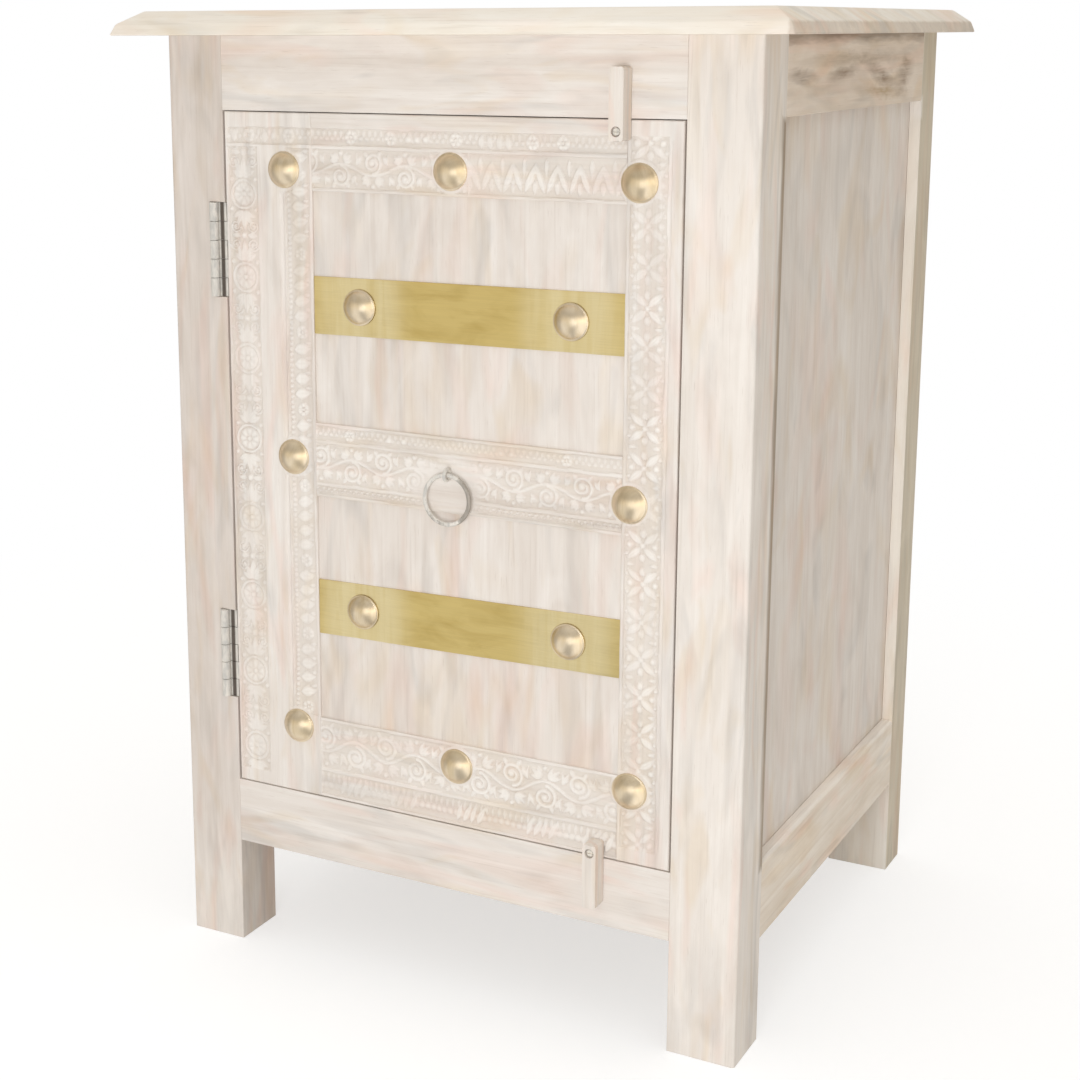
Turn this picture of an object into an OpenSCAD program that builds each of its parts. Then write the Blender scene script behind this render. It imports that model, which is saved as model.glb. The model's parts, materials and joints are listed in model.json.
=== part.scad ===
// Whitewashed bedside cabinet with one carved, brass-studded door.
// Lengths are in millimetres. +Z is up and the door faces -Y. The origin is on the floor,
// in the middle of the outline that the top board casts.

/* [Carcass] */
// Width of the carcass over its legs
carcass_w = 400; // [380:1:460]
// Depth of the carcass, front face to back face
carcass_d = 355; // [320:1:420]
// Height of the legs, floor to underside of the top
leg_h = 614; // [580:1:680]
// Width of the two left legs, seen from the front
left_leg_w = 41; // [36:0.5:48]
// Width of the two right legs, seen from the front
right_leg_w = 44; // [36:0.5:48]
// Depth of the two front legs
front_leg_d = 40; // [38:0.5:48]
// Depth of the two back legs
back_leg_d = 34; // [34:0.5:44]
// Radius of the worn outer arris of each leg
leg_arris_r = 2; // [1:0.5:4]

/* [Rails] */
// Thickness of every carcass rail
rail_t = 22; // [20:0.5:25]
// Height of the front rail above the door
front_top_rail_h = 46.5; // [40:0.5:60]
// Height of the front rail below the door
front_bottom_rail_h = 44.5; // [40:0.5:55]
// Clear height under the front bottom rail
front_floor_gap = 73; // [60:1:90]
// Height of the side and back rails under the top
side_top_rail_h = 46; // [40:0.5:55]
// Height of the side and back rails at the bottom
side_bottom_rail_h = 50; // [44:0.5:60]
// Clear height under the side and back bottom rails
side_floor_gap = 68; // [58:1:72]
// Width and height of the bevel along the upper outer edge of a side's bottom rail
side_rail_bevel = 2; // [1:0.5:4]

/* [Joinery] */
// Thickness of the stub tenons on the carcass rails
tenon_t = 8; // [6:0.5:9]
// Length of the stub tenons on the carcass rails
tenon_l = 15; // [10:0.5:16]
// Step from a rail's edge to its tenon's edge
tenon_shoulder = 8.5; // [8:0.5:12]
// Clearance all round a tenon or a panel's thickness in its slot
slot_gap = 0.1; // [0.05:0.05:0.3]
// Clearance past the end of a tenon or the edge of a panel
end_gap = 1; // [0.5:0.25:1.5]
// Depth of the grooves that hold the side and back panels
groove_depth = 6; // [4:0.5:6]

/* [Side and back panels] */
// Thickness of the side and back panels
panel_t = 8; // [6:0.5:9]
// How far a side or back panel lies behind the legs' faces
panel_recess = 8; // [4:0.5:9]

/* [Top board] */
// Thickness of the top board
top_t = 15; // [13:0.5:22]
// Overhang of the top past each side
top_side_overhang = 26; // [15:1:40]
// Overhang of the top past the front
top_front_overhang = 27; // [15:1:40]
// Height of the nearly upright lower part of the top's edge
top_edge_h = 7; // [4:0.5:9]
// How far that lower part leans in
top_edge_lean = 3; // [1:0.5:5]
// Width of the bevel above it
top_bevel_w = 13; // [6:1:20]
// Width of the cleats that hold the top
top_cleat_w = 16; // [14:1:22]
// Height of the cleats that hold the top
top_cleat_h = 18; // [14:1:24]
// How far the top's screws reach into the board
top_screw_bite = 9; // [6:1:10]

/* [Inside boards] */
// Thickness of the floor board
floor_t = 12; // [9:1:15]
// Thickness of the shelf
shelf_t = 12; // [9:1:15]
// Height of the shelf's upper face above the floor board
shelf_rise = 222; // [150:1:300]
// How far the shelf's front edge lies behind the door
shelf_setback = 8; // [4:1:40]
// Clearance round the floor board and the shelf
board_gap = 0.5; // [0.25:0.25:1]
// Width of the cleats under the floor board and the shelf
cleat_w = 14; // [10:1:18]
// Height of the cleats under the floor board and the shelf
cleat_h = 15; // [12:1:18]
// Depth of the stop strip behind the top rail
stop_d = 12; // [8:1:16]
// How far the stop strip reaches down behind the door
stop_drop = 8; // [5:0.5:12]
// How far the stop strip reaches up the back of the rail
stop_rise = 22; // [12:1:30]
// Distance from each leg to the end of the stop strip
stop_inset = 30; // [20:1:60]

/* [Door frame] */
// Gap beside the door, at its hinges and at its closing edge
door_gap = 1.25; // [1.25:0.25:3]
// Gap above and below the door
door_end_gap = 0.6; // [0.6:0.1:3]
// Clearance between closed parts that move apart
rest_gap = 0.3; // [0.3:0.05:0.5]
// Width of the door's hinge stile
hinge_stile_w = 65; // [55:0.5:75]
// Width of the door's closing stile
closing_stile_w = 34.5; // [30:0.5:45]
// Height of the door's top rail
door_top_rail_h = 48; // [42:0.5:60]
// Height of the door's middle rail
door_middle_rail_h = 48; // [44:0.5:60]
// Height of the door's bottom rail
door_bottom_rail_h = 55; // [46:0.5:66]
// How far the middle rail sits above the midway point between the panels
middle_rail_lift = 1.5; // [-10:0.5:10]
// Thickness of the tenons on the door's rails
door_tenon_t = 7; // [5:0.5:8]
// Length of the tenons on the door's rails
door_tenon_l = 18; // [12:1:20]
// Step from a door rail's edge to its tenon's edge
door_tenon_shoulder = 8; // [7:0.5:12]
// Thickness of the door's panels
door_panel_t = 9; // [7:0.5:10]
// How far the door's panels lie behind its face
door_panel_recess = 2; // [1.5:0.25:3]
// Depth of the grooves that hold the door's panels
door_groove_depth = 6; // [4:0.5:6]

/* [Carved bands] */
// Depth of the ground of the carved bands
band_depth = 1.5; // [0.5:0.25:2]
// Width of the plain fillet along the door's outer edge
outer_fillet_w = 9; // [6:0.5:12]
// Width of the bead row next to that fillet on the rails
bead_row_w = 11; // [8:0.5:14]
// Width of the thin fillets between carved bands
thin_fillet_w = 1.6; // [1:0.2:3]
// Width of the hinge stile's outer carved band
outer_band_w = 23; // [16:0.5:28]
// Width of the hinge stile's plain stretch that carries the studs
plain_band_w = 20; // [14:0.5:24]

/* [Brass] */
// Height of the brass strips
strip_h = 36.5; // [28:0.5:44]
// Thickness of the brass strips
strip_t = 1; // [0.6:0.1:1.4]
// How far each strip sits above the middle of its panel
strip_lift = 3; // [-10:0.5:10]
// Rise of the upper strip from left to right
upper_strip_rise = 1.8; // [-4:0.2:4]
// Rise of the lower strip from left to right
lower_strip_rise = 3.6; // [-4:0.2:4]
// Distance from a strip's left end to its stud
strip_stud_left_inset = 33; // [20:0.5:50]
// Distance from a strip's right end to its stud
strip_stud_right_inset = 34.5; // [20:0.5:50]
// Diameter of the domed studs
stud_d = 23; // [16:0.5:26]
// Height of the domed studs
stud_h = 6.5; // [4:0.5:9]
// Diameter of the studs' nails
stud_nail_d = 2.6; // [2:0.2:3.6]
// Length of the studs' nails
stud_nail_l = 8; // [6:0.5:9]
// Distance from the door's hinge edge to the left studs
left_stud_inset = 48; // [42:0.5:50]
// Distance from the door's closing edge to the right studs
right_stud_inset = 26.5; // [18:0.5:30]
// Distance from the door's top edge to the top corner studs
top_stud_inset = 35.5; // [20:0.5:37]
// Distance from the door's bottom edge to the bottom corner studs
bottom_stud_inset = 46.5; // [30:0.5:50]
// How far the top middle stud sits above its neighbours
top_middle_stud_lift = 2.5; // [-4:0.5:5]
// How far the bottom middle stud sits below its neighbours
bottom_middle_stud_drop = 6.5; // [-4:0.5:8]
// How far the right middle stud sits below the left one
right_stud_drop = 4.5; // [-6:0.5:6]
// How far the top left and top middle studs sit to the left of the ones below them
top_stud_shift = 3.5; // [-4:0.5:5]
// How far the right middle stud sits to the left of its neighbours
right_stud_shift = 3; // [-4:0.5:5]

/* [Ring pull] */
// Diameter of the ring, measured to the middle of its wire
ring_d = 31.4; // [24:0.2:40]
// Diameter of the ring's wire
ring_wire_d = 3; // [2.4:0.2:4]
// Diameter of the eye's wire
eye_wire_d = 2.4; // [2:0.2:3]
// Clearance round the ring's wire inside the eye
eye_gap = 0.6; // [0.5:0.05:0.8]
// Clearance between the eye's curl and the door
eye_standoff = 0.5; // [0:0.25:2]
// Depth of the eye's shank in the rail
eye_shank_l = 15; // [8:1:18]
// Distance of the ring pull from the door's middle line
pull_offset = 7; // [-20:0.5:20]
// Height of the eye above the middle of the middle rail
pull_lift = 1.5; // [-4:0.5:4]

/* [Turn buttons] */
// Width of the turn buttons
button_w = 9; // [8:0.5:12]
// Thickness of the turn buttons
button_t = 12; // [9:0.5:16]
// Distance from a button's screw to the tip of its long arm
button_arm = 36; // [25:0.5:42]
// Distance from a button's screw to its short end
button_tail = 5.5; // [4.5:0.5:8]
// Distance from the door's edge to a button's screw
button_screw_inset = 6.4; // [4:0.1:8]
// Distance from the door's closing edge to the top button
top_button_inset = 36.5; // [20:0.5:60]
// Distance from the door's closing edge to the bottom button
bottom_button_inset = 47; // [20:0.5:60]
// Radius of the buttons' corners
button_corner_r = 2; // [1:0.25:3]
// Shank diameter of the buttons' screws
button_screw_d = 3; // [2.6:0.2:3.4]
// Depth of the buttons' screws in the door
button_screw_bite = 12; // [8:1:16]
// Radial clearance of a button on its screw
button_bore_gap = 0.05; // [0.02:0.01:0.1]
// Diameter of the heads of the buttons' screws
button_head_d = 5.2; // [4.8:0.2:6]
// Thickness of those heads
button_head_t = 1.6; // [1.2:0.1:2]
// Clearance round a head in its well
button_well_gap = 0.4; // [0.3:0.1:0.6]
// How far a head lies below its button's face
button_head_sink = 1; // [0.5:0.25:2]

/* [Hinges] */
// Height of a hinge
hinge_h = 60.5; // [50:0.5:76]
// Distance from the door's top or bottom edge to the nearer end of a hinge
hinge_end_inset = 58; // [30:1:80]
// Outer diameter of the hinge knuckles
barrel_d = 6; // [5.5:0.25:7]
// Diameter of the hinge pins
hinge_pin_d = 3; // [2.6:0.2:3.4]
// Radial clearance of the hinge pins
pin_gap = 0.05; // [0.02:0.01:0.1]
// Gap between neighbouring knuckles
knuckle_gap = 0.4; // [0.3:0.05:0.6]
// Distance from the leg's inner face to the hinge axis, into the leg
axis_inset = 8.5; // [7:0.25:10]
// Thickness of the hinge leaves
leaf_t = 1.6; // [1.2:0.1:2]
// How far the hinge leaves reach back from the door's face
leaf_d = 17; // [15:0.5:19]
// Thickness of the fingers that tie the knuckles to their leaves
finger_t = 1.2; // [0.8:0.1:1.4]
// Distance from a leaf's back edge to its screws
leaf_screw_inset = 6; // [5:0.5:7]
// Clearance between the hinge notch and the leaves
notch_gap = 0.4; // [0.3:0.05:0.6]
// Shank diameter of the small screws
screw_d = 2.8; // [2.4:0.2:3.2]
// Head diameter of the small screws
screw_head_d = 5.6; // [5:0.2:6]
// Length of the small screws
screw_l = 14; // [10:1:18]

/* [Magnetic catch] */
// Height of the catch's case
catch_h = 40; // [30:1:50]
// Width of the catch's case
catch_w = 12; // [10:0.5:16]
// Depth of the catch's case
catch_d = 16; // [12:1:20]
// How far the catch's lower end is above the shelf
catch_rise = 20; // [5:1:60]
// Height of the magnet in the case
magnet_h = 24; // [16:1:26]
// Width of the magnet in the case
magnet_w = 6; // [4:0.5:8]
// Depth of the magnet in the case
magnet_d = 8; // [5:0.5:10]
// How far the catch's screws reach into the leg
catch_screw_bite = 9; // [6:1:14]
// Thickness of the strike plate on the door
strike_t = 1.2; // [0.8:0.1:1.6]
// Length of the strike plate's screws
strike_screw_l = 10; // [8:1:13]

/* [Hidden] */
$fn = 64;
DOME_SIDES = 160;
// Clearance round nails and screws, and the reach of a cut past a face
nail_gap = 0.05;
cut = 1;
KNUCKLES = 5;
HINGE_SCREWS = 3;
TOP_SCREWS_PER_CLEAT = 2;

wood_colour = "#ddd4cb";
top_colour = "#ebe1cf";
carved_colour = "#e3dacf";
inside_colour = "#d3c3b0";
brass_colour = "#cdb566";
steel_colour = "#8e8c88";
iron_colour = "#c9c4bc";
dark_colour = "#4a4a48";

// Faces of the carcass
top_w = carcass_w + 2 * top_side_overhang;
top_d = carcass_d + top_front_overhang;
x_left = -carcass_w / 2;
x_right = carcass_w / 2;
y_front = top_front_overhang - top_d / 2;
y_back = top_d / 2;
left_in = x_left + left_leg_w;
right_in = x_right - right_leg_w;
front_leg_back = y_front + front_leg_d;
back_leg_front = y_back - back_leg_d;
opening_z0 = front_floor_gap + front_bottom_rail_h;
opening_z1 = leg_h - front_top_rail_h;
side_z0 = side_floor_gap + side_bottom_rail_h;
side_z1 = leg_h - side_top_rail_h;
floor_z = opening_z0;
shelf_z = floor_z + shelf_rise;
back_panel_face = y_back - panel_recess - panel_t;
top_cleat_xs = [x_left + rail_t, x_right - rail_t - top_cleat_w];
top_screw_l = top_cleat_h + top_screw_bite;

// Edges of the door and of its panels
door_t = rail_t - rest_gap;
door_x0 = left_in + door_gap;
door_x1 = right_in - door_gap;
door_z0 = opening_z0 + door_end_gap;
door_z1 = opening_z1 - door_end_gap;
panel_x0 = door_x0 + hinge_stile_w;
panel_x1 = door_x1 - closing_stile_w;
lower_z0 = door_z0 + door_bottom_rail_h;
upper_z1 = door_z1 - door_top_rail_h;
lower_z1 = (lower_z0 + upper_z1 - door_middle_rail_h) / 2 + middle_rail_lift;
upper_z0 = lower_z1 + door_middle_rail_h;
middle_z = (lower_z1 + upper_z0) / 2;

// Hinges
axis_x = left_in - axis_inset;
axis_y = y_front;
barrel_r = barrel_d / 2;
knuckle_h = (hinge_h - (KNUCKLES - 1) * knuckle_gap) / KNUCKLES;
hinge_zs = [door_z0 + hinge_end_inset, door_z1 - hinge_end_inset - hinge_h];
frame_leaf_x = axis_inset;
door_leaf_x = axis_inset + door_gap;

// Studs: a row each for the frame and for the strips
stud_left_x = door_x0 + left_stud_inset;
stud_right_x = door_x1 - right_stud_inset;
stud_middle_x = (stud_left_x + stud_right_x) / 2;
stud_top_z = door_z1 - top_stud_inset;
stud_bottom_z = door_z0 + bottom_stud_inset;
frame_stud_places = [
    [stud_left_x - top_stud_shift, stud_top_z],
    [stud_middle_x - top_stud_shift, stud_top_z + top_middle_stud_lift],
    [stud_right_x, stud_top_z],
    [stud_left_x, middle_z],
    [stud_right_x - right_stud_shift, middle_z - right_stud_drop],
    [stud_left_x, stud_bottom_z],
    [stud_middle_x, stud_bottom_z - bottom_middle_stud_drop],
    [stud_right_x, stud_bottom_z]
];
upper_strip_z = (upper_z0 + upper_z1) / 2 + strip_lift;
lower_strip_z = (lower_z0 + lower_z1) / 2 + strip_lift;
strip_x0 = panel_x0 + slot_gap;
strip_x1 = panel_x1 - slot_gap;
function strip_mid_z(z, rise, x) = z + rise * ((x - strip_x0) / (strip_x1 - strip_x0) - 1 / 2);
strip_stud_xs = [strip_x0 + strip_stud_left_inset, strip_x1 - strip_stud_right_inset];

// Ring pull
ring_r = ring_d / 2;
eye_r = ring_wire_d / 2 + eye_gap + eye_wire_d / 2;
pull_x = (door_x0 + door_x1) / 2 + pull_offset;
pull_y = y_front - eye_standoff - eye_r - eye_wire_d / 2;
pull_z = middle_z + pull_lift;

// Turn buttons
button_well_d = button_head_d + 2 * button_well_gap;
button_well_depth = button_head_sink + button_head_t + rest_gap;
top_button_x = door_x1 - top_button_inset;
bottom_button_x = door_x1 - bottom_button_inset;
top_button_z = door_z1 - button_screw_inset;
bottom_button_z = door_z0 + button_screw_inset;

// Magnetic catch
catch_z = shelf_z + catch_rise;
catch_y = y_front + door_t + strike_t + rest_gap;
catch_screw_l = catch_w + catch_screw_bite;
strike_x = right_in - catch_w;
strike_w = door_x1 - strike_x - door_gap;

// Building blocks

// A box between two opposite corners
module span(low, high) {
    translate(low) cube(high - low);
}

// A rail along X between two shoulders, with a stub tenon at each end
module rail_x(x0, x1, y, z, h) {
    span([x0, y, z], [x1, y + rail_t, z + h]);
    tenons_x(x0, x1, y, z, h, 0, 0);
}

// The bar that both tenons of a rail along X lie in, grown by a side and an end gap
module tenons_x(x0, x1, y, z, h, side, end) {
    reach = tenon_l + end;
    y_in = (rail_t - tenon_t) / 2 - side;
    z_in = tenon_shoulder - side;
    span([x0 - reach, y + y_in, z + z_in], [x1 + reach, y + rail_t - y_in, z + h - z_in]);
}

// A rail along Y between two shoulders, with a stub tenon at each end
module rail_y(y0, y1, x, z, h) {
    span([x, y0, z], [x + rail_t, y1, z + h]);
    tenons_y(y0, y1, x, z, h, 0, 0);
}

// The bar that both tenons of a rail along Y lie in, grown by a side and an end gap
module tenons_y(y0, y1, x, z, h, side, end) {
    reach = tenon_l + end;
    x_in = (rail_t - tenon_t) / 2 - side;
    z_in = tenon_shoulder - side;
    span([x + x_in, y0 - reach, z + z_in], [x + rail_t - x_in, y1 + reach, z + h - z_in]);
}

// Everything that stands out of the door's face is drawn along +Z and turned to face -Y
module on_face(x, z, depth = 0) {
    translate([x, y_front + depth, z]) rotate([90, 0, 0]) children();
}

// A countersunk wood screw along +Z, its flat head at z = 0 and its shank below
module countersunk_screw(d, head_d, length, gap = 0) {
    head_h = (head_d - d) / 2;
    translate([0, 0, -head_h]) cylinder(h = head_h, d1 = d + 2 * gap, d2 = head_d + 2 * gap);
    translate([0, 0, -length - gap]) cylinder(h = length + gap, d = d + 2 * gap);
}

// Carcass rails: the same calls draw a rail and cut its mortises
module front_rail_place(top, gaps) {
    h = top ? front_top_rail_h : front_bottom_rail_h;
    z = top ? opening_z1 : front_floor_gap;
    if (gaps) tenons_x(left_in, right_in, y_front, z, h, slot_gap, end_gap);
    else rail_x(left_in, right_in, y_front, z, h);
}

module back_rail_place(top, gaps) {
    h = top ? side_top_rail_h : side_bottom_rail_h;
    z = top ? side_z1 : side_floor_gap;
    y = y_back - rail_t;
    if (gaps) tenons_x(left_in, right_in, y, z, h, slot_gap, end_gap);
    else rail_x(left_in, right_in, y, z, h);
}

module side_rail_place(right, top, gaps) {
    h = top ? side_top_rail_h : side_bottom_rail_h;
    z = top ? side_z1 : side_floor_gap;
    x = right ? x_right - rail_t : x_left;
    if (gaps) tenons_y(front_leg_back, back_leg_front, x, z, h, slot_gap, end_gap);
    else rail_y(front_leg_back, back_leg_front, x, z, h);
}

// The space of a side panel, as the board itself or as the groove round it
module side_panel_space(right, groove) {
    side = groove ? slot_gap : 0;
    edge = groove ? groove_depth : groove_depth - end_gap;
    x = right ? x_right - panel_recess - panel_t : x_left + panel_recess;
    span([x - side, front_leg_back - edge, side_z0 - edge],
         [x + panel_t + side, back_leg_front + edge, side_z1 + edge]);
}

// The space of the back panel, as the board itself or as the groove round it
module back_panel_space(groove) {
    side = groove ? slot_gap : 0;
    edge = groove ? groove_depth : groove_depth - end_gap;
    span([left_in - edge, back_panel_face - side, side_z0 - edge],
         [right_in + edge, back_panel_face + panel_t + side, side_z1 + edge]);
}

// A leg's section: a rectangle whose outer corner is worn round
module leg_section(right, back) {
    w = right ? right_leg_w : left_leg_w;
    d = back ? back_leg_d : front_leg_d;
    x = right ? x_right - w : x_left;
    y = back ? y_back - d : y_front;
    corner_x = right ? x_right - leg_arris_r : x_left;
    corner_y = back ? y_back - leg_arris_r : y_front;
    round_x = right ? x_right - leg_arris_r : x_left + leg_arris_r;
    round_y = back ? y_back - leg_arris_r : y_front + leg_arris_r;
    difference() {
        translate([x, y]) square([w, d]);
        translate([corner_x, corner_y]) square(leg_arris_r);
    }
    translate([round_x, round_y]) circle(r = leg_arris_r);
}

module leg(right, back) {
    color(wood_colour) difference() {
        linear_extrude(leg_h) leg_section(right, back);
        for (top = [false, true]) {
            side_rail_place(right, top, true);
            if (back) back_rail_place(top, true);
            else front_rail_place(top, true);
        }
        side_panel_space(right, true);
        if (back) back_panel_space(true);
        if (!right && !back) hinge_cuts_in_leg();
        if (right && !back) catch_screw_places() countersunk_screw(screw_d, screw_head_d, catch_screw_l, nail_gap);
    }
}

// Carcass nodes

// The top: two edge profiles, one for each direction, crossed so that their hips meet
module top_board() {
    x1 = top_w / 2;
    y1 = top_d / 2;
    lean_bevel = top_edge_lean + top_bevel_w;
    color(top_colour) difference() {
        translate([0, 0, leg_h]) intersection() {
            rotate([90, 0, 0]) linear_extrude(top_d, center = true) polygon([
                [-x1, 0], [x1, 0], [x1 - top_edge_lean, top_edge_h], [x1 - lean_bevel, top_t],
                [lean_bevel - x1, top_t], [top_edge_lean - x1, top_edge_h]
            ]);
            rotate([90, 0, 90]) linear_extrude(top_w, center = true) polygon([
                [-y1, 0], [y1, 0], [y1, top_t], [lean_bevel - y1, top_t], [top_edge_lean - y1, top_edge_h]
            ]);
        }
        top_screw_places() countersunk_screw(screw_d, screw_head_d, top_screw_l, nail_gap);
    }
}

module front_rail(top) {
    color(wood_colour) front_rail_place(top, false);
}

module back_rail(top) {
    color(wood_colour) difference() {
        back_rail_place(top, false);
        back_panel_space(true);
    }
}

// The square bar, standing on its edge, that planes the bevel on a side's bottom rail
module side_rail_plane(right) {
    w = side_rail_bevel * sqrt(2);
    x = right ? x_right : x_left;
    y = (front_leg_back + back_leg_front) / 2;
    length = back_leg_front - front_leg_back + 2 * cut;
    translate([x, y, side_z0]) rotate([0, 45, 0]) cube([w, length, w], center = true);
}

module side_rail(right, top) {
    color(wood_colour) difference() {
        side_rail_place(right, top, false);
        side_panel_space(right, true);
        if (!top) side_rail_plane(right);
    }
}

module side_panel(right) {
    color(wood_colour) side_panel_space(right, false);
}

module back_panel() {
    color(inside_colour) back_panel_space(false);
}

// The floor board lies between the rails and is notched round the legs
module floor_board() {
    z = floor_z - floor_t;
    x0 = x_left + rail_t + board_gap;
    x1 = x_right - rail_t - board_gap;
    y0 = y_front + rail_t + board_gap;
    y1 = y_back - rail_t - board_gap;
    color(inside_colour) difference() {
        span([x0, y0, z], [x1, y1, floor_z]);
        for (x = [x_left, right_in - board_gap], y = [y_front, back_leg_front - board_gap]) {
            w = (x == x_left ? left_leg_w : right_leg_w) + board_gap;
            d = (y == y_front ? front_leg_d : back_leg_d) + board_gap;
            translate([x, y, z - cut]) cube([w, d, floor_t + 2 * cut]);
        }
    }
}

// Two cleats along the side rails carry the floor board
module floor_cleats() {
    z1 = floor_z - floor_t;
    for (x = [x_left + rail_t, x_right - rail_t - cleat_w])
        color(inside_colour)
            span([x, front_leg_back, z1 - cleat_h], [x + cleat_w, back_leg_front, z1]);
}

module shelf_board() {
    y0 = y_front + rail_t + shelf_setback;
    color(inside_colour)
        span([left_in + board_gap, y0, shelf_z - shelf_t],
             [right_in - board_gap, back_panel_face - board_gap, shelf_z]);
}

// Two cleats from leg to leg carry the shelf
module shelf_cleats() {
    y0 = y_front + rail_t + shelf_setback;
    z1 = shelf_z - shelf_t;
    for (x = [left_in, right_in - cleat_w])
        color(inside_colour)
            span([x, y0, z1 - cleat_h], [x + cleat_w, back_panel_face - board_gap, z1]);
}

// Two cleats along the side rails hold the top, with screws up into the board
module top_screw_places() {
    step = (back_leg_front - front_leg_back) / (2 * TOP_SCREWS_PER_CLEAT);
    for (x = top_cleat_xs, i = [0 : TOP_SCREWS_PER_CLEAT - 1])
        translate([x + top_cleat_w / 2, front_leg_back + (2 * i + 1) * step, leg_h - top_cleat_h])
            rotate([180, 0, 0]) children();
}

module top_cleats() {
    color(inside_colour) difference() {
        for (x = top_cleat_xs)
            span([x, front_leg_back, leg_h - top_cleat_h], [x + top_cleat_w, back_leg_front, leg_h]);
        top_screw_places() countersunk_screw(screw_d, screw_head_d, top_screw_l, nail_gap);
    }
}

module top_screws() {
    color(steel_colour) top_screw_places() countersunk_screw(screw_d, screw_head_d, top_screw_l);
}

// A strip behind the top rail stops the door flush with the frame
module door_stop_strip() {
    y0 = y_front + rail_t;
    color(inside_colour)
        span([left_in + stop_inset, y0, opening_z1 - stop_drop],
             [right_in - stop_inset, y0 + stop_d, opening_z1 + stop_rise]);
}

// Magnetic catch on the closing leg
module catch_screw_places() {
    margin = (catch_h - magnet_h) / 4;
    for (z = [catch_z + margin, catch_z + catch_h - margin])
        translate([right_in - catch_w, catch_y + catch_d / 2, z]) rotate([0, -90, 0]) children();
}

module catch_case() {
    color(dark_colour) difference() {
        span([right_in - catch_w, catch_y, catch_z], [right_in, catch_y + catch_d, catch_z + catch_h]);
        catch_magnet_space(slot_gap);
        catch_screw_places() countersunk_screw(screw_d, screw_head_d, catch_screw_l, nail_gap);
    }
}

module catch_magnet_space(gap) {
    x_mid = right_in - catch_w / 2;
    z_mid = catch_z + catch_h / 2;
    span([x_mid - magnet_w / 2 - gap, catch_y - (gap > 0 ? cut : 0), z_mid - magnet_h / 2 - gap],
         [x_mid + magnet_w / 2 + gap, catch_y + magnet_d, z_mid + magnet_h / 2 + gap]);
}

module catch_magnet() {
    color(steel_colour) catch_magnet_space(0);
}

module catch_screws() {
    color(steel_colour) catch_screw_places() countersunk_screw(screw_d, screw_head_d, catch_screw_l);
}

// Hinges: each is drawn with its axis along +Z from the lower end of its barrel
module hinge_place(i) {
    translate([axis_x, axis_y, hinge_zs[i]]) children();
}

// Every second knuckle from the first one given, with the finger that ties it to its leaf
module knuckle_fingers(first, reach) {
    for (i = [first : 2 : KNUCKLES - 1])
        translate([0, 0, i * (knuckle_h + knuckle_gap)]) {
            cylinder(h = knuckle_h, r = barrel_r);
            span([0, barrel_r - finger_t, 0], [reach, barrel_r, knuckle_h]);
        }
}

// Places of the screws in a leaf, along the leaf's face at the given x
module leaf_screw_places(x, turn) {
    step = hinge_h / HINGE_SCREWS;
    for (i = [0 : HINGE_SCREWS - 1])
        translate([x, leaf_d - leaf_screw_inset, (i + 1 / 2) * step]) rotate([0, turn, 0]) children();
}

module frame_leaf(i) {
    back = barrel_r + notch_gap;
    color(steel_colour) hinge_place(i) difference() {
        union() {
            knuckle_fingers(0, frame_leaf_x);
            for (k = [0 : 2 : KNUCKLES - 1])
                translate([0, 0, k * (knuckle_h + knuckle_gap)])
                    span([frame_leaf_x - leaf_t, barrel_r - finger_t, 0], [frame_leaf_x, back, knuckle_h]);
            span([frame_leaf_x - leaf_t, back, 0], [frame_leaf_x, leaf_d, hinge_h]);
        }
        pin_bore();
        leaf_screw_places(frame_leaf_x, 90) countersunk_screw(screw_d, screw_head_d, screw_l, nail_gap);
    }
}

module door_leaf(i) {
    color(steel_colour) hinge_place(i) difference() {
        union() {
            knuckle_fingers(1, door_leaf_x);
            span([door_leaf_x, barrel_r - finger_t, 0], [door_leaf_x + leaf_t, leaf_d, hinge_h]);
        }
        pin_bore();
        leaf_screw_places(door_leaf_x, -90) countersunk_screw(screw_d, screw_head_d, screw_l, nail_gap);
    }
}

module pin_bore() {
    translate([0, 0, -cut]) cylinder(h = hinge_h + 2 * cut, d = hinge_pin_d + 2 * pin_gap);
}

module hinge_pin(i) {
    color(steel_colour) hinge_place(i) cylinder(h = hinge_h, d = hinge_pin_d);
}

module hinge_frame_screws() {
    color(steel_colour) for (i = [0, 1])
        hinge_place(i) leaf_screw_places(frame_leaf_x, 90) countersunk_screw(screw_d, screw_head_d, screw_l);
}

module hinge_door_screws() {
    color(steel_colour) for (i = [0, 1])
        hinge_place(i) leaf_screw_places(door_leaf_x, -90) countersunk_screw(screw_d, screw_head_d, screw_l);
}

// The leg has a notch for each barrel, a mortise for each leaf and holes for its screws
module hinge_cuts_in_leg() {
    for (i = [0, 1]) hinge_place(i) {
        span([-barrel_r - notch_gap, -cut, -notch_gap], [axis_inset + cut, barrel_r + notch_gap, hinge_h + notch_gap]);
        span([frame_leaf_x - leaf_t, -cut, 0], [frame_leaf_x + cut, leaf_d, hinge_h]);
        leaf_screw_places(frame_leaf_x, 90) countersunk_screw(screw_d, screw_head_d, screw_l, nail_gap);
    }
}

module hinge_cuts_in_door() {
    for (i = [0, 1]) hinge_place(i) {
        span([door_leaf_x - cut, barrel_r - finger_t, 0], [door_leaf_x + leaf_t, leaf_d, hinge_h]);
        leaf_screw_places(door_leaf_x, -90) countersunk_screw(screw_d, screw_head_d, screw_l, nail_gap);
    }
}

// Door

// The bar that both tenons of a door rail lie in, grown by a side and an end gap
module door_tenons(z0, z1, side, end) {
    reach = door_tenon_l + end;
    y = y_front + (door_t - door_tenon_t) / 2;
    z_in = door_tenon_shoulder - side;
    span([panel_x0 - reach, y - side, z0 + z_in], [panel_x1 + reach, y + door_tenon_t + side, z1 - z_in]);
}

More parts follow.
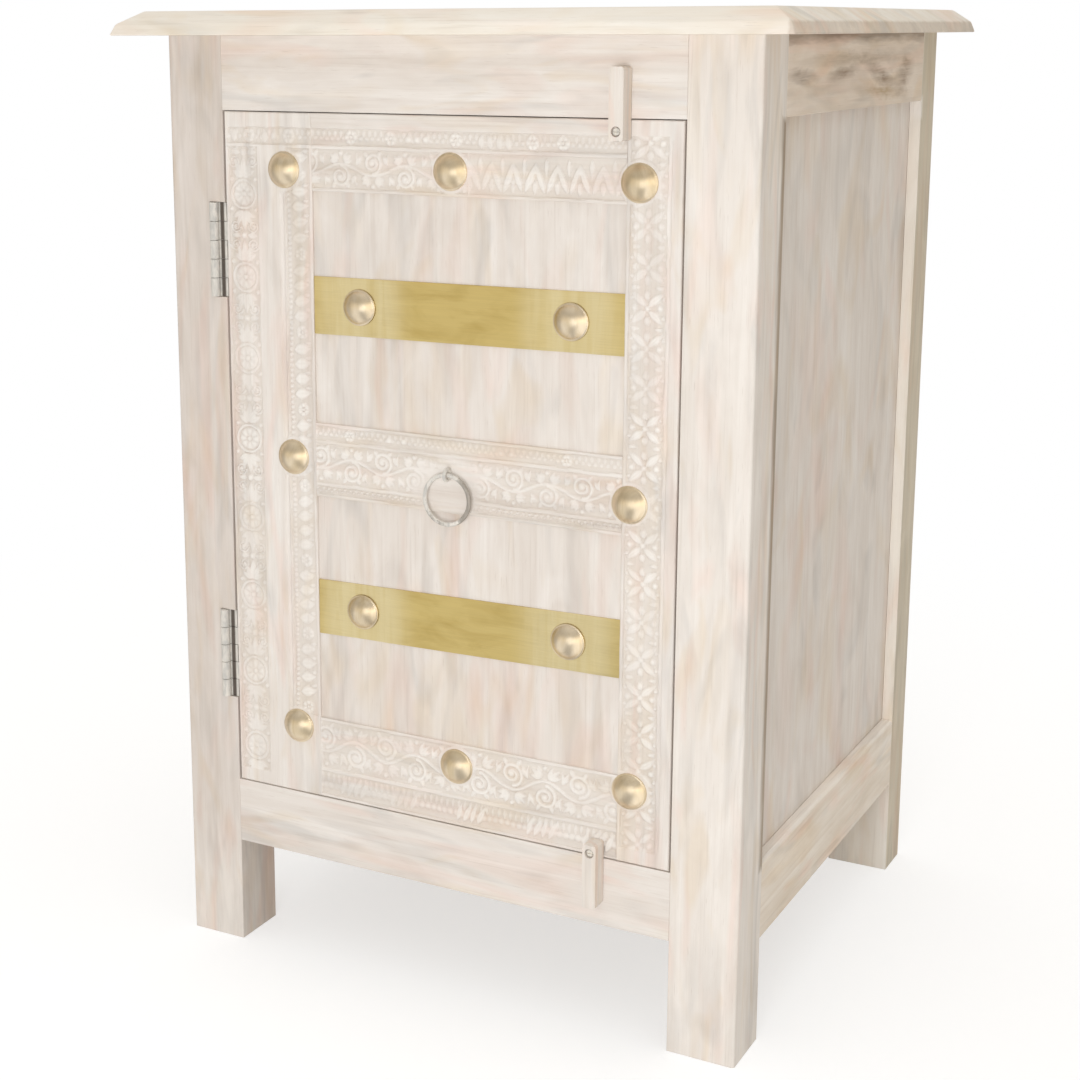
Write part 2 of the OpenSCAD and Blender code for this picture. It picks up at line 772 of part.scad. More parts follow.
// The space of a door panel, as the board itself or as the groove round it
module door_panel_space(z0, z1, groove) {
    side = groove ? slot_gap : 0;
    edge = groove ? door_groove_depth : door_groove_depth - end_gap;
    y = y_front + door_panel_recess;
    span([panel_x0 - edge, y - side, z0 - edge], [panel_x1 + edge, y + door_panel_t + side, z1 + edge]);
}

module door_grooves() {
    door_panel_space(lower_z0, lower_z1, true);
    door_panel_space(upper_z0, upper_z1, true);
}

module door_mortises() {
    door_tenons(door_z0, lower_z0, slot_gap, end_gap);
    door_tenons(lower_z1, upper_z0, slot_gap, end_gap);
    door_tenons(upper_z1, door_z1, slot_gap, end_gap);
}

// The ground of a carved band, sunk below the door's face
module band(x0, x1, z0, z1) {
    span([x0, y_front - cut, z0], [x1, y_front + band_depth, z1]);
}

module door_nail_holes() {
    for (p = frame_stud_places) on_face(p.x, p.y) stud_nail(nail_gap);
}

// The hinge stile has an outer carved band, a plain stretch for the studs and an inner carved band
module door_stile_hinge() {
    outer_x0 = door_x0 + thin_fillet_w;
    outer_x1 = outer_x0 + outer_band_w;
    inner_x0 = outer_x1 + plain_band_w;
    color(carved_colour) difference() {
        span([door_x0, y_front, door_z0], [panel_x0, y_front + door_t, door_z1]);
        band(outer_x0, outer_x1, door_z0 + outer_fillet_w, door_z1 - outer_fillet_w);
        band(inner_x0, panel_x0 - thin_fillet_w, lower_z0, upper_z1);
        door_mortises();
        door_grooves();
        door_nail_holes();
        hinge_cuts_in_door();
    }
}

// The closing stile has one carved band beside a plain edge
module door_stile_closing() {
    color(carved_colour) difference() {
        span([panel_x1, y_front, door_z0], [door_x1, y_front + door_t, door_z1]);
        band(panel_x1 + thin_fillet_w, door_x1 - outer_fillet_w, door_z0 + outer_fillet_w, door_z1 - outer_fillet_w);
        door_mortises();
        door_grooves();
        door_nail_holes();
        button_screw_holes();
        strike_screw_places() countersunk_screw(screw_d, screw_head_d, strike_screw_l, nail_gap);
    }
}

module door_rail_body(z0, z1) {
    span([panel_x0, y_front, z0], [panel_x1, y_front + door_t, z1]);
    door_tenons(z0, z1, 0, 0);
}

// The top rail has a bead row under its plain edge and a carved band below that
module door_rail_top() {
    bead_z1 = door_z1 - outer_fillet_w;
    bead_z0 = bead_z1 - bead_row_w;
    color(carved_colour) difference() {
        door_rail_body(upper_z1, door_z1);
        band(panel_x0, panel_x1, bead_z0, bead_z1);
        band(panel_x0, panel_x1, upper_z1 + thin_fillet_w, bead_z0 - thin_fillet_w);
        door_grooves();
        door_nail_holes();
        button_screw_holes();
    }
}

module door_rail_middle() {
    color(carved_colour) difference() {
        door_rail_body(lower_z1, upper_z0);
        band(panel_x0, panel_x1, lower_z1 + thin_fillet_w, upper_z0 - thin_fillet_w);
        door_grooves();
        door_nail_holes();
        on_face(pull_x, pull_z) eye_shank(nail_gap);
    }
}

// The bottom rail has a carved band above a row of leaves along its lower edge
module door_rail_bottom() {
    leaf_z0 = door_z0 + thin_fillet_w;
    leaf_z1 = leaf_z0 + outer_fillet_w + bead_row_w - 2 * thin_fillet_w;
    color(carved_colour) difference() {
        door_rail_body(door_z0, lower_z0);
        band(panel_x0, panel_x1, leaf_z0, leaf_z1);
        band(panel_x0, panel_x1, leaf_z1 + thin_fillet_w, lower_z0 - thin_fillet_w);
        door_grooves();
        door_nail_holes();
        button_screw_holes();
    }
}

module door_panel(z0, z1) {
    color(wood_colour) difference() {
        door_panel_space(z0, z1, false);
        strip_stud_places() stud_nail(nail_gap);
    }
}

// Brass

// A strip across a panel, its ends upright and its length sloping a little
module brass_strip(z, rise) {
    za = strip_mid_z(z, rise, strip_x0);
    zb = strip_mid_z(z, rise, strip_x1);
    color(brass_colour) difference() {
        on_face(0, 0, door_panel_recess) linear_extrude(strip_t) polygon([
            [strip_x0, za - strip_h / 2], [strip_x1, zb - strip_h / 2],
            [strip_x1, zb + strip_h / 2], [strip_x0, za + strip_h / 2]
        ]);
        strip_stud_places() stud_nail(nail_gap);
    }
}

// The strips' studs sit on the strips' faces
module strip_stud_places() {
    for (x = strip_stud_xs) {
        on_face(x, strip_mid_z(upper_strip_z, upper_strip_rise, x), door_panel_recess - strip_t) children();
        on_face(x, strip_mid_z(lower_strip_z, lower_strip_rise, x), door_panel_recess - strip_t) children();
    }
}

module stud_nail(gap = 0) {
    translate([0, 0, -stud_nail_l - gap]) cylinder(h = stud_nail_l + gap + (gap > 0 ? cut : 0), d = stud_nail_d + 2 * gap);
}

// A domed stud: a cap of a sphere over its nail
module stud() {
    r = stud_d / 2;
    dome_r = (r * r + stud_h * stud_h) / (2 * stud_h);
    rotate_extrude() intersection() {
        translate([0, stud_h - dome_r]) circle(r = dome_r, $fn = DOME_SIDES);
        square([r, stud_h]);
    }
    stud_nail();
}

module frame_studs() {
    color(brass_colour) for (p = frame_stud_places) on_face(p.x, p.y) stud();
}

module strip_studs() {
    color(brass_colour) strip_stud_places() stud();
}

// Ring pull

module eye_shank(gap = 0) {
    translate([0, 0, -eye_shank_l - gap])
        cylinder(h = eye_shank_l + gap + (gap > 0 ? cut : 0), d = eye_wire_d + 2 * gap);
}

// The eye curls round the ring's wire on a shank driven into the middle rail
module pull_eye() {
    color(iron_colour) {
        on_face(pull_x, pull_z) {
            eye_shank();
            cylinder(h = eye_standoff + eye_wire_d / 2, d = eye_wire_d);
        }
        translate([pull_x, pull_y, pull_z]) rotate([0, 90, 0])
            rotate_extrude() translate([eye_r, 0]) circle(d = eye_wire_d);
    }
}

module pull_ring() {
    color(iron_colour) translate([pull_x, pull_y, pull_z - ring_r]) rotate([90, 0, 0])
        rotate_extrude() translate([ring_r, 0]) circle(d = ring_wire_d);
}

// Turn buttons

module button_screw_places() {
    on_face(top_button_x, top_button_z) children();
    on_face(bottom_button_x, bottom_button_z) children();
}

module button_screw_holes() {
    button_screw_places() translate([0, 0, -button_screw_bite - nail_gap])
        cylinder(h = button_screw_bite + nail_gap + cut, d = button_screw_d + 2 * nail_gap);
}

// A button along +Y from its screw, with a sunk seat for the screw's head
module turn_button() {
    w = button_w - 2 * button_corner_r;
    well_z = button_t - button_well_depth;
    color(wood_colour) difference() {
        translate([0, 0, rest_gap]) linear_extrude(button_t) {
            translate([-button_w / 2, button_corner_r - button_tail])
                square([button_w, button_arm + button_tail - 2 * button_corner_r]);
            translate([-w / 2, -button_tail]) square([w, button_arm + button_tail]);
            for (x = [-w / 2, w / 2], y = [button_corner_r - button_tail, button_arm - button_corner_r])
                translate([x, y]) circle(r = button_corner_r);
        }
        translate([0, 0, rest_gap - cut]) cylinder(h = button_t + 2 * cut, d = button_screw_d + 2 * button_bore_gap);
        translate([0, 0, rest_gap + well_z]) cylinder(h = button_well_depth + cut, d = button_well_d);
    }
}

module turn_button_top() {
    on_face(top_button_x, top_button_z) turn_button();
}

module turn_button_bottom() {
    on_face(bottom_button_x, bottom_button_z) rotate([0, 0, 180]) turn_button();
}

module turn_button_screws() {
    head_z = button_t - button_head_sink - button_head_t + rest_gap;
    color(steel_colour) button_screw_places() {
        translate([0, 0, -button_screw_bite]) cylinder(h = button_screw_bite + head_z, d = button_screw_d);
        translate([0, 0, head_z]) cylinder(h = button_head_t, d = button_head_d);
    }
}

// Strike plate on the back of the door
module strike_screw_places() {
    for (z = [catch_z + catch_h / 4, catch_z + catch_h * 3 / 4])
        translate([strike_x + strike_w / 2, y_front + door_t + strike_t, z]) rotate([-90, 0, 0]) children();
}

module strike_plate() {
    y = y_front + door_t;
    color(steel_colour) difference() {
        span([strike_x, y, catch_z], [strike_x + strike_w, y + strike_t, catch_z + catch_h]);
        strike_screw_places() countersunk_screw(screw_d, screw_head_d, strike_screw_l, nail_gap);
    }
}

module strike_screws() {
    color(steel_colour) strike_screw_places() countersunk_screw(screw_d, screw_head_d, strike_screw_l);
}

top_board();
leg(false, false);  // leg_front_left
leg(true, false);  // leg_front_right
leg(false, true);  // leg_back_left
leg(true, true);  // leg_back_right
front_rail(true);  // rail_front_top
front_rail(false);  // rail_front_bottom
back_rail(true);  // rail_back_top
back_rail(false);  // rail_back_bottom
side_rail(false, true);  // rail_left_top
side_rail(false, false);  // rail_left_bottom
side_rail(true, true);  // rail_right_top
side_rail(true, false);  // rail_right_bottom
side_panel(false);  // side_panel_left
side_panel(true);  // side_panel_right
back_panel();
floor_board();
floor_cleats();
shelf_board();
shelf_cleats();
top_cleats();
top_screws();
door_stop_strip();
catch_case();
catch_magnet();
catch_screws();
frame_leaf(0);  // hinge_lower_frame_leaf
frame_leaf(1);  // hinge_upper_frame_leaf
hinge_pin(0);  // hinge_lower_pin
hinge_pin(1);  // hinge_upper_pin
hinge_frame_screws();
door_stile_hinge();
door_stile_closing();
door_rail_top();
door_rail_middle();
door_rail_bottom();
door_panel(upper_z0, upper_z1);  // door_panel_upper
door_panel(lower_z0, lower_z1);  // door_panel_lower
brass_strip(upper_strip_z, upper_strip_rise);  // brass_strip_upper
brass_strip(lower_strip_z, lower_strip_rise);  // brass_strip_lower
frame_studs();
strip_studs();
door_leaf(0);  // hinge_lower_door_leaf
door_leaf(1);  // hinge_upper_door_leaf
hinge_door_screws();
strike_plate();
strike_screws();
pull_eye();
turn_button_screws();
pull_ring();
turn_button_top();
turn_button_bottom();
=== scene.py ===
"""Whitewashed bedside cabinet: its finishes, carving, brass and stage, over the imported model."""

import json
import math

import bmesh
import bpy
import numpy as np
from mathutils import Matrix, Vector


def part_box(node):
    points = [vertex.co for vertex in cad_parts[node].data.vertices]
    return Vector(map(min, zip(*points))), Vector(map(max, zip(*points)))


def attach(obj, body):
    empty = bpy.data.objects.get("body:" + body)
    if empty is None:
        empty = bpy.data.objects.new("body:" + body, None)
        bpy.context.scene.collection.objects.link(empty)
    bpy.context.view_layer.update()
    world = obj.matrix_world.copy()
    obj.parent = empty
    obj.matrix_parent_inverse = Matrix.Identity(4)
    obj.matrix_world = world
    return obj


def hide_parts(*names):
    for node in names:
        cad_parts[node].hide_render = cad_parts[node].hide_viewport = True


bl_info = {
    "name": "Bedside Cabinet Finisher",
    "version": (1, 0, 0),
    "blender": (4, 5, 0),
    "location": "3D View > Sidebar > Cabinet",
    "description": "Dresses a bedside cabinet with whitewashed wood, carving and brass",
    "category": "Object",
}

MM = 0.001
# Height of a stud above the wood, and how thin its base is below its rim
STUD_HEIGHT = 0.0065
STUD_BASE = 0.0003
# Radius of the hinges' knuckles
BARREL_R = 0.003
# A board's edges stay sharp if they are shorter than this, such as the facets round its holes, or
# turn less than this, in degrees
SHORTEST_WORN_EDGE = 0.004
LEAST_WORN_TURN = 20
# The studs' height and the screw heads' radius are drawn to this share of their CAD size, to stay
# inside it
INSIDE = 0.97

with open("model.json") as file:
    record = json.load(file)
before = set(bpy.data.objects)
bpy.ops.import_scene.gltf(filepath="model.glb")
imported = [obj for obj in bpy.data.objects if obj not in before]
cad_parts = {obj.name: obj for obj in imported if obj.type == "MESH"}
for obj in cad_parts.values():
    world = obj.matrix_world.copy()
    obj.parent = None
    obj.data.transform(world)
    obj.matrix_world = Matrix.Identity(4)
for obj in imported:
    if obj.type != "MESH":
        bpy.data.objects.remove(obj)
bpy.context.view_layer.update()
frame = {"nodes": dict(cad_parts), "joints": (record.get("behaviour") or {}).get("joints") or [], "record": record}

# The door's face and the edges of its frame, all in millimetres
stile_low, stile_high = (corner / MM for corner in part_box("door_stile_hinge"))
closing_low, closing_high = (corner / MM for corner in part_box("door_stile_closing"))
FACE_Y = stile_low.y
DOOR_X0 = stile_low.x
DOOR_X1 = closing_high.x
DOOR_Z0 = stile_low.z
DOOR_Z1 = stile_high.z
PANEL_X0 = stile_high.x
PANEL_X1 = closing_low.x


def linear(hex_colour):
    """Turns a colour written as sRGB hex into the linear values that Blender takes."""
    parts = [int(hex_colour[i:i + 2], 16) / 255 for i in (1, 3, 5)]
    return [c / 12.92 if c <= 0.04045 else ((c + 0.055) / 1.055) ** 2.4 for c in parts]


def rgba(colour, share=1.0):
    """The four values of a colour, given as sRGB hex or as a setting, times a share."""
    parts = linear(colour) if isinstance(colour, str) else colour
    return (*(part * share for part in parts), 1.0)


# Sizes and colours that a user would change

def colour_setting(name, description, default):
    """A colour that a user would change, its default given as sRGB hex."""
    return bpy.props.FloatVectorProperty(
        name=name, description=description, subtype="COLOR", size=3, min=0, max=1,
        default=linear(default))


def length_setting(name, description, low, high, default):
    """A length that a user would change, in metres."""
    return bpy.props.FloatProperty(
        name=name, description=description, subtype="DISTANCE", unit="LENGTH", min=low, max=high,
        default=default)


def angle_setting(name, description, degrees):
    """An angle that a user would change, its default given in degrees."""
    return bpy.props.FloatProperty(
        name=name, description=description, subtype="ANGLE", default=math.radians(degrees))


class WashSettings(bpy.types.PropertyGroup):
    """Colours of the whitewashed wood."""
    wash: colour_setting("Whitewash", "Colour of the whitewash where it lies thick", "#eee8e2")
    blush: colour_setting("Thin wash", "Colour of the wash where the wood shows through", "#dcd2c9")
    wood: colour_setting("Wood", "Colour of the wood in the open pores", "#b4a496")
    cream: colour_setting("Top's wash", "Colour of the creamier wash on the top board", "#f8f2e9")
    streak: length_setting(
        "Streak width", "Width of the broad streaks across the grain", 0.002, 0.03, 0.009)
    wear: length_setting(
        "Worn arris", "Width of the rounding on the boards' edges", 0.0001, 0.002, 0.0004)


class CarvingSettings(bpy.types.PropertyGroup):
    """Sizes of the door's carving, in metres."""
    ground: length_setting(
        "Ground depth", "Depth of the ground behind the carved ornament", 0.0005, 0.0016, 0.0015)
    step: length_setting(
        "Fineness", "Distance between the points of the carved faces", 0.0004, 0.002, 0.0006)
    outer_band: length_setting(
        "Outer band", "Width of the hinge stile's outer carved band", 0.016, 0.028, 0.023)
    plain_band: length_setting(
        "Plain stretch", "Width of the plain stretch beside it", 0.014, 0.024, 0.020)
    row: length_setting(
        "Bead row", "Width of the row of beads along the rails", 0.008, 0.014, 0.011)
    fillet: length_setting(
        "Edge fillet", "Width of the plain fillet round the door", 0.006, 0.012, 0.009)
    thin_fillet: length_setting(
        "Thin fillet", "Width of the fillets between the bands", 0.001, 0.003, 0.0016)
    worn: bpy.props.FloatProperty(
        name="Wear", description="Share of the relief that is worn away in patches",
        subtype="FACTOR", min=0, max=1, default=0.45)


class BrassSettings(bpy.types.PropertyGroup):
    """Sizes and colours of the brass."""
    sheet: colour_setting("Strips", "Colour of the brass strips", "#d4bd7c")
    dome: colour_setting("Studs", "Colour of the domed studs", "#ead9bd")
    # The strips' paler colour round their studs is a painted reflection
    rubbed: colour_setting(
        "Painted reflection", "Colour of the strips' painted reflection round their studs", "#e3d3a4")
    dish: length_setting(
        "Dishing", "Depth to which the strips are dished round their studs", 0.0, 0.0008, 0.0005)


class StageSettings(bpy.types.PropertyGroup):
    """Camera and lamps."""
    camera: bpy.props.FloatVectorProperty(
        name="Camera", description="Place of the camera",
        subtype="TRANSLATION", unit="LENGTH", size=3, default=(0.56092, -1.17912, 0.61736))
    turn: angle_setting("Turn", "Turn of the camera to the left of straight ahead", 29.013)
    dip: angle_setting("Dip", "Angle that the camera looks down", 11.803)
    tilt: angle_setting("Tilt", "Angle that the camera leans to one side", -0.208)
    lens: bpy.props.FloatProperty(
        name="Lens", description="Focal length on a 36 mm frame, in millimetres",
        min=20, max=200, default=64.18)
    key: bpy.props.FloatProperty(
        name="Key lamp", description="Power of the large soft lamp in front",
        subtype="POWER", unit="POWER", min=0, default=9.1)
    fill: bpy.props.FloatProperty(
        name="Fill", description="Strength of the soft light from all round",
        min=0, max=2, default=0.38)
    overhead: bpy.props.FloatProperty(
        name="Overhead", description="Further strength of the soft light towards the zenith",
        min=0, max=2, default=0.70)


class CabinetSettings(bpy.types.PropertyGroup):
    """All the sizes and colours, by group."""
    wash: bpy.props.PointerProperty(type=WashSettings)
    carving: bpy.props.PointerProperty(type=CarvingSettings)
    brass: bpy.props.PointerProperty(type=BrassSettings)
    stage: bpy.props.PointerProperty(type=StageSettings)


def settings():
    """The sizes and colours that the scene holds."""
    return bpy.context.scene.bedside_cabinet


# Node trees

def add(tree, kind, *values, **named):
    """Adds a node and returns the first output that it shows.

    values go to the inputs that it shows, in their order. A keyword that starts with a capital
    names an input, with _ for a space, and any other is a setting. A value may be an output.
    """
    made = tree.nodes.new(kind)
    for key, value in named.items():
        if not key[0].isupper():
            setattr(made, key, value)
    shown = [socket for socket in made.inputs if socket.enabled]
    by_name = {socket.name: socket for socket in shown}
    pairs = list(zip(shown, values))
    for key, value in named.items():
        if key[0].isupper():
            pairs.append((by_name[key.replace("_", " ")], value))
    for socket, value in pairs:
        if isinstance(value, bpy.types.NodeSocket):
            tree.links.new(value, socket)
        else:
            socket.default_value = value
    return next((socket for socket in made.outputs if socket.enabled), None)


def weighted(tree, start, *terms):
    """A start plus each term's value times its weight."""
    total = start
    for value, weight in terms:
        total = add(tree, "ShaderNodeMath", value, weight, total, operation="MULTIPLY_ADD")
    return total


def new_material(name):
    """The tree and the shader of a new Principled material."""
    made = bpy.data.materials.new(name)
    made.use_nodes = True
    return made.node_tree, made.node_tree.nodes["Principled BSDF"]


def material(name):
    """A finish by its name, which the finishes operator has made."""
    return bpy.data.materials[name]


def dress(tree, shader, colour, roughness, height, strength, depth):
    """Gives a shader its colour, its roughness and the bump of a height."""
    bump = add(tree, "ShaderNodeBump", Height=height, Strength=strength, Distance=depth)
    for name, value in (("Base Color", colour), ("Roughness", roughness), ("Normal", bump)):
        tree.links.new(value, shader.inputs[name])


def grain(tree, axis, across, along, detail=4.0, shift=0.0, distortion=0.0):
    """Noise like wood grain along one of the object's axes, its grains across by along metres."""
    scale = [1 / across] * 3
    scale["XYZ".index(axis)] = 1 / along
    place = add(tree, "ShaderNodeTexCoord").node.outputs["Object"]
    place = add(tree, "ShaderNodeMapping", Vector=place, Scale=scale, Location=(shift, shift, shift))
    return add(tree, "ShaderNodeTexNoise", Vector=place, Scale=1.0, Detail=detail, Roughness=0.6,
               Distortion=distortion)


def object_parts(tree):
    """The x, y and z of the Object coordinates."""
    place = add(tree, "ShaderNodeTexCoord").node.outputs["Object"]
    return add(tree, "ShaderNodeSeparateXYZ", place).node.outputs


def figure_mark(tree, y, z, length, height, slope):
    """Where a dark mark of the wood's figure lies on a side rail: a soft smudge along Y."""
    across, along, up = object_parts(tree)
    along = weighted(tree, -y, (along, 1.0))
    up = weighted(tree, -z, (up, 1.0), (along, -slope))
    # The smudge's outline is ragged by 2.4 times its height
    ragged = grain(tree, "Y", 0.006, 0.022, 2.0, y * 90, 0.4)
    up = weighted(tree, -1.2, (up, 1 / height), (ragged, 2.4))
    along = add(tree, "ShaderNodeMath", along, length, operation="DIVIDE")
    reach = add(tree, "ShaderNodeCombineXYZ", along, up)
    reach = add(tree, "ShaderNodeVectorMath", reach, operation="LENGTH")
    streaks = grain(tree, "Y", 0.0018, 0.026, 2.0, z * 50)
    streaks = add(tree, "ShaderNodeMapRange", streaks, 0.35, 0.65, 0.55, 1.0)
    soft = add(tree, "ShaderNodeMapRange", reach, 1.6, 0.1, 0.0, 0.8)
    return add(tree, "ShaderNodeMath", soft, streaks, operation="MULTIPLY")


def tint_and_painted_light_place(tree, axis, low, high, soft):
    """Where a box of its own tint lies, with soft and ragged edges: some boxes hold another wash, some painted
    shade and some a painted highlight.
    """
    into = 1.0
    for place, a, b in zip(object_parts(tree), low, high):
        past_a = weighted(tree, -a, (place, 1.0))
        short_of_b = weighted(tree, b, (place, -1.0))
        for distance in (past_a, short_of_b):
            into = add(tree, "ShaderNodeMath", into, distance, operation="MINIMUM")
    ragged = grain(tree, axis, 0.005, 0.04, 2.0, high[2] * 40)
    into = weighted(tree, -1.5 * soft, (into, 1.0), (ragged, 3 * soft))
    return add(tree, "ShaderNodeMapRange", into, -soft, soft)


def raised_share(tree):
    """How raised a carved face is, or how far a dished strip takes its painted reflection, from 0 to 1."""
    return add(tree, "ShaderNodeAttribute", attribute_name="raised").node.outputs["Fac"]


def whitewashed_wood(name, axis, thick, thin, cover, shift, streak=1.0, figure=(), tints_and_painted_light=(),
                     carved=False):
    """Solid wood, limed and sanded back: matt, with streaks along the grain and open pores."""
    wash = settings().wash
    tree, shader = new_material(name)
    # The wood's pores are about 0.2 mm wide. They are drawn 0.8 mm wide, to show in the picture
    broad = grain(tree, axis, wash.streak * streak, 0.20, 3.0, shift, 0.8)
    fine = grain(tree, axis, 0.0018, 0.07, 4.0, shift + 3.1, 0.4)
    pores = grain(tree, axis, 0.0008, 0.012, 2.0, shift + 7.7)
    patches = grain(tree, axis, 0.030, 0.09, 3.0, shift + 11.3, 1.2)

    # How thickly the wash lies: broad streaks and patches, broken by fine ones
    lay = weighted(tree, 0.0, (broad, 0.9), (patches, 0.8), (fine, 0.25))
    share = add(tree, "ShaderNodeMapRange", lay, 1.43 - cover, 2.03 - cover)
    colour = add(tree, "ShaderNodeMix", share, rgba(thin), rgba(thick), data_type="RGBA")

    # Boxes of another wash, of painted shade and of painted highlight
    for low, high, soft, tint in tints_and_painted_light:
        box_share = tint_and_painted_light_place(tree, axis, low, high, soft)
        patch = add(tree, "ShaderNodeMix", share, rgba(tint, 0.88), rgba(tint, 1.08),
                    data_type="RGBA")
        colour = add(tree, "ShaderNodeMix", box_share, colour, patch, data_type="RGBA")

    # Drifts of greyish, pinkish and straw-coloured wash, each with its own streaks
    for tint, across, along, own_shift, amount in (
            ("#d9dadb", 0.018, 0.10, 19.0, 0.80), ("#eedcd6", 0.024, 0.12, 29.0, 0.60),
            ("#e6dac6", 0.021, 0.09, 39.0, 0.50)):
        drift = grain(tree, axis, across * streak, along, 1.5, shift + own_shift, 1.2)
        drift = add(tree, "ShaderNodeMapRange", drift, 0.52, 0.72, 0.0, amount)
        tinted = add(tree, "ShaderNodeMix", 0.86, colour, rgba(tint),
                     data_type="RGBA", blend_type="MULTIPLY")
        lifted = add(tree, "ShaderNodeMix", 1.0, tinted, (1.14, 1.14, 1.14, 1.0),
                     data_type="RGBA", blend_type="MULTIPLY")
        colour = add(tree, "ShaderNodeMix", drift, colour, lifted, data_type="RGBA")

    # The wood's own colour in open pores and along thin lines of the grain
    line = add(tree, "ShaderNodeMapRange", fine, 0.42, 0.26, 0.0, 0.21)
    pore = add(tree, "ShaderNodeMapRange", pores, 0.36, 0.24, 0.0, 0.24)
    open_grain = add(tree, "ShaderNodeMath", line, pore, operation="MAXIMUM")
    colour = add(tree, "ShaderNodeMix", open_grain, colour, rgba(wash.wood), data_type="RGBA")

    for y, z, length, height, slope, tint in figure:
        dark = figure_mark(tree, y, z, length, height, slope)
        colour = add(tree, "ShaderNodeMix", dark, colour, rgba(tint), data_type="RGBA")
    if carved:
        # The raised ornament is painted lighter, a painted highlight, and the ground round it darker and greyish,
        # painted shade
        raised = raised_share(tree)
        high = add(tree, "ShaderNodeMapRange", raised, 0.40, 0.95, 0.0, 0.50)
        colour = add(tree, "ShaderNodeMix", high, colour, rgba("#f6f2ec"), data_type="RGBA")
        low = add(tree, "ShaderNodeMapRange", raised, 0.24, 0.0, 0.0, 0.30)
        colour = add(tree, "ShaderNodeMix", low, colour, rgba("#cbbfb1"), data_type="RGBA")

    shader.inputs["Specular IOR Level"].default_value = 0.3
    roughness = add(tree, "ShaderNodeMapRange", share, 0.0, 1.0, 0.72, 0.58)
    height = weighted(tree, 0.0, (fine, 0.6), (pores, 0.4))
    dress(tree, shader, colour, roughness, height, 0.35, 0.0003)


def brass(name, colour, axis, roughness, tarnish, pale=None):
    """Lacquered brass: fine rubbing lines and a faint darker bloom. pale is the colour of a painted reflection
    round the studs.
    """
    tree, shader = new_material(name)
    # Rubbing lines are about 0.1 mm wide. They are drawn 0.6 mm wide, to show in the picture
    lines = grain(tree, axis, 0.0006, 0.05, 3.0)
    bloom = grain(tree, axis, 0.012, 0.04, 3.0, 5.0, 0.8)
    dark = add(tree, "ShaderNodeMapRange", bloom, 0.45, 0.75, 0.0, tarnish)
    mixed = add(tree, "ShaderNodeMix", dark, rgba(colour), rgba("#a98c3f"), data_type="RGBA")
    if pale:
        # A painted reflection round the studs: paler brass in soft vertical sweeps
        sweeps = grain(tree, "Z", 0.008, 0.08, 3.0, 8.0, 0.5)
        sweeps = add(tree, "ShaderNodeMapRange", sweeps, 0.3, 0.6, 0.55, 1.0)
        rubbed = add(tree, "ShaderNodeMath", raised_share(tree), sweeps, operation="MULTIPLY")
        mixed = add(tree, "ShaderNodeMix", rubbed, mixed, rgba(pale), data_type="RGBA")
    dimmed = add(tree, "ShaderNodeMapRange", lines, 0.3, 0.7, 0.93, 1.0)
    mixed = add(tree, "ShaderNodeMix", 1.0, mixed, dimmed, data_type="RGBA", blend_type="MULTIPLY")
    shader.inputs["Metallic"].default_value = 1.0
    roughness = add(tree, "ShaderNodeMapRange", bloom, 0.3, 0.8, roughness, roughness + 0.14)
    dress(tree, shader, mixed, roughness, lines, 0.12, 0.0001)


def smeared_metal(name, metal, smear, share, roughness, covered=None, shine=0.85):
    """Bare metal with whitewash left on it in smears. covered makes a node that says where."""
    tree, shader = new_material(name)
    patches = grain(tree, "Z", 0.003, 0.008, 3.0, 2.0, 0.3)
    scratches = grain(tree, "Z", 0.0004, 0.012, 3.0, 9.0)
    painted = add(tree, "ShaderNodeMapRange", patches, 0.66 - share * 0.4, 0.80 - share * 0.4)
    if covered:
        painted = add(tree, "ShaderNodeMath", painted, covered(tree), operation="MULTIPLY")
    worn = add(tree, "ShaderNodeMapRange", scratches, 0.35, 0.7)
    worn = add(tree, "ShaderNodeMix", worn, rgba(metal), rgba(metal, 0.6), data_type="RGBA")
    tinted = add(tree, "ShaderNodeMapRange", patches, 0.35, 0.65)
    tinted = add(tree, "ShaderNodeMix", tinted, rgba("#c4c1bb"), rgba(smear), data_type="RGBA")
    colour = add(tree, "ShaderNodeMix", painted, worn, tinted, data_type="RGBA")
    metallic = add(tree, "ShaderNodeMapRange", painted, 0.0, 1.0, shine, 0.0)
    tree.links.new(metallic, shader.inputs["Metallic"])
    roughness = add(tree, "ShaderNodeMapRange", painted, 0.0, 1.0, roughness, 0.7)
    height = weighted(tree, painted, (scratches, 0.3))
    dress(tree, shader, colour, roughness, height, 0.25, 0.0002)


def painted_but_for(x0, x1):
    """Whitewash all over but for a strip between two places along X, where a hinge folds."""
    def build(tree):
        x = object_parts(tree)[0]
        left = add(tree, "ShaderNodeMapRange", x, x0 + 0.0005, x0 - 0.0005)
        right = add(tree, "ShaderNodeMapRange", x, x1 - 0.0005, x1 + 0.0005)
        return add(tree, "ShaderNodeMath", left, right, operation="MAXIMUM")
    return build


def ring_wash_and_painted_shade(centre, radius):
    """Whitewash on a ring but for its right side and the foot of its left side, left bare and darker as painted
    shade.
    """
    def build(tree):
        x, y, z = object_parts(tree)
        x, z = weighted(tree, -centre.x, (x, 1.0)), weighted(tree, -centre.z, (z, 1.0))
        wobble = grain(tree, "Z", 0.004, 0.004, 2.0, 3.0)
        side = weighted(tree, x, (wobble, radius))
        right = add(tree, "ShaderNodeMapRange", side, radius * 0.85, radius * 1.1, 1.0, 0.0)
        foot = weighted(tree, z, (wobble, radius), (x, 0.5))
        left = add(tree, "ShaderNodeMapRange", foot, -radius * 0.62, -radius * 0.42)
        return add(tree, "ShaderNodeMath", right, left, operation="MULTIPLY")
    return build


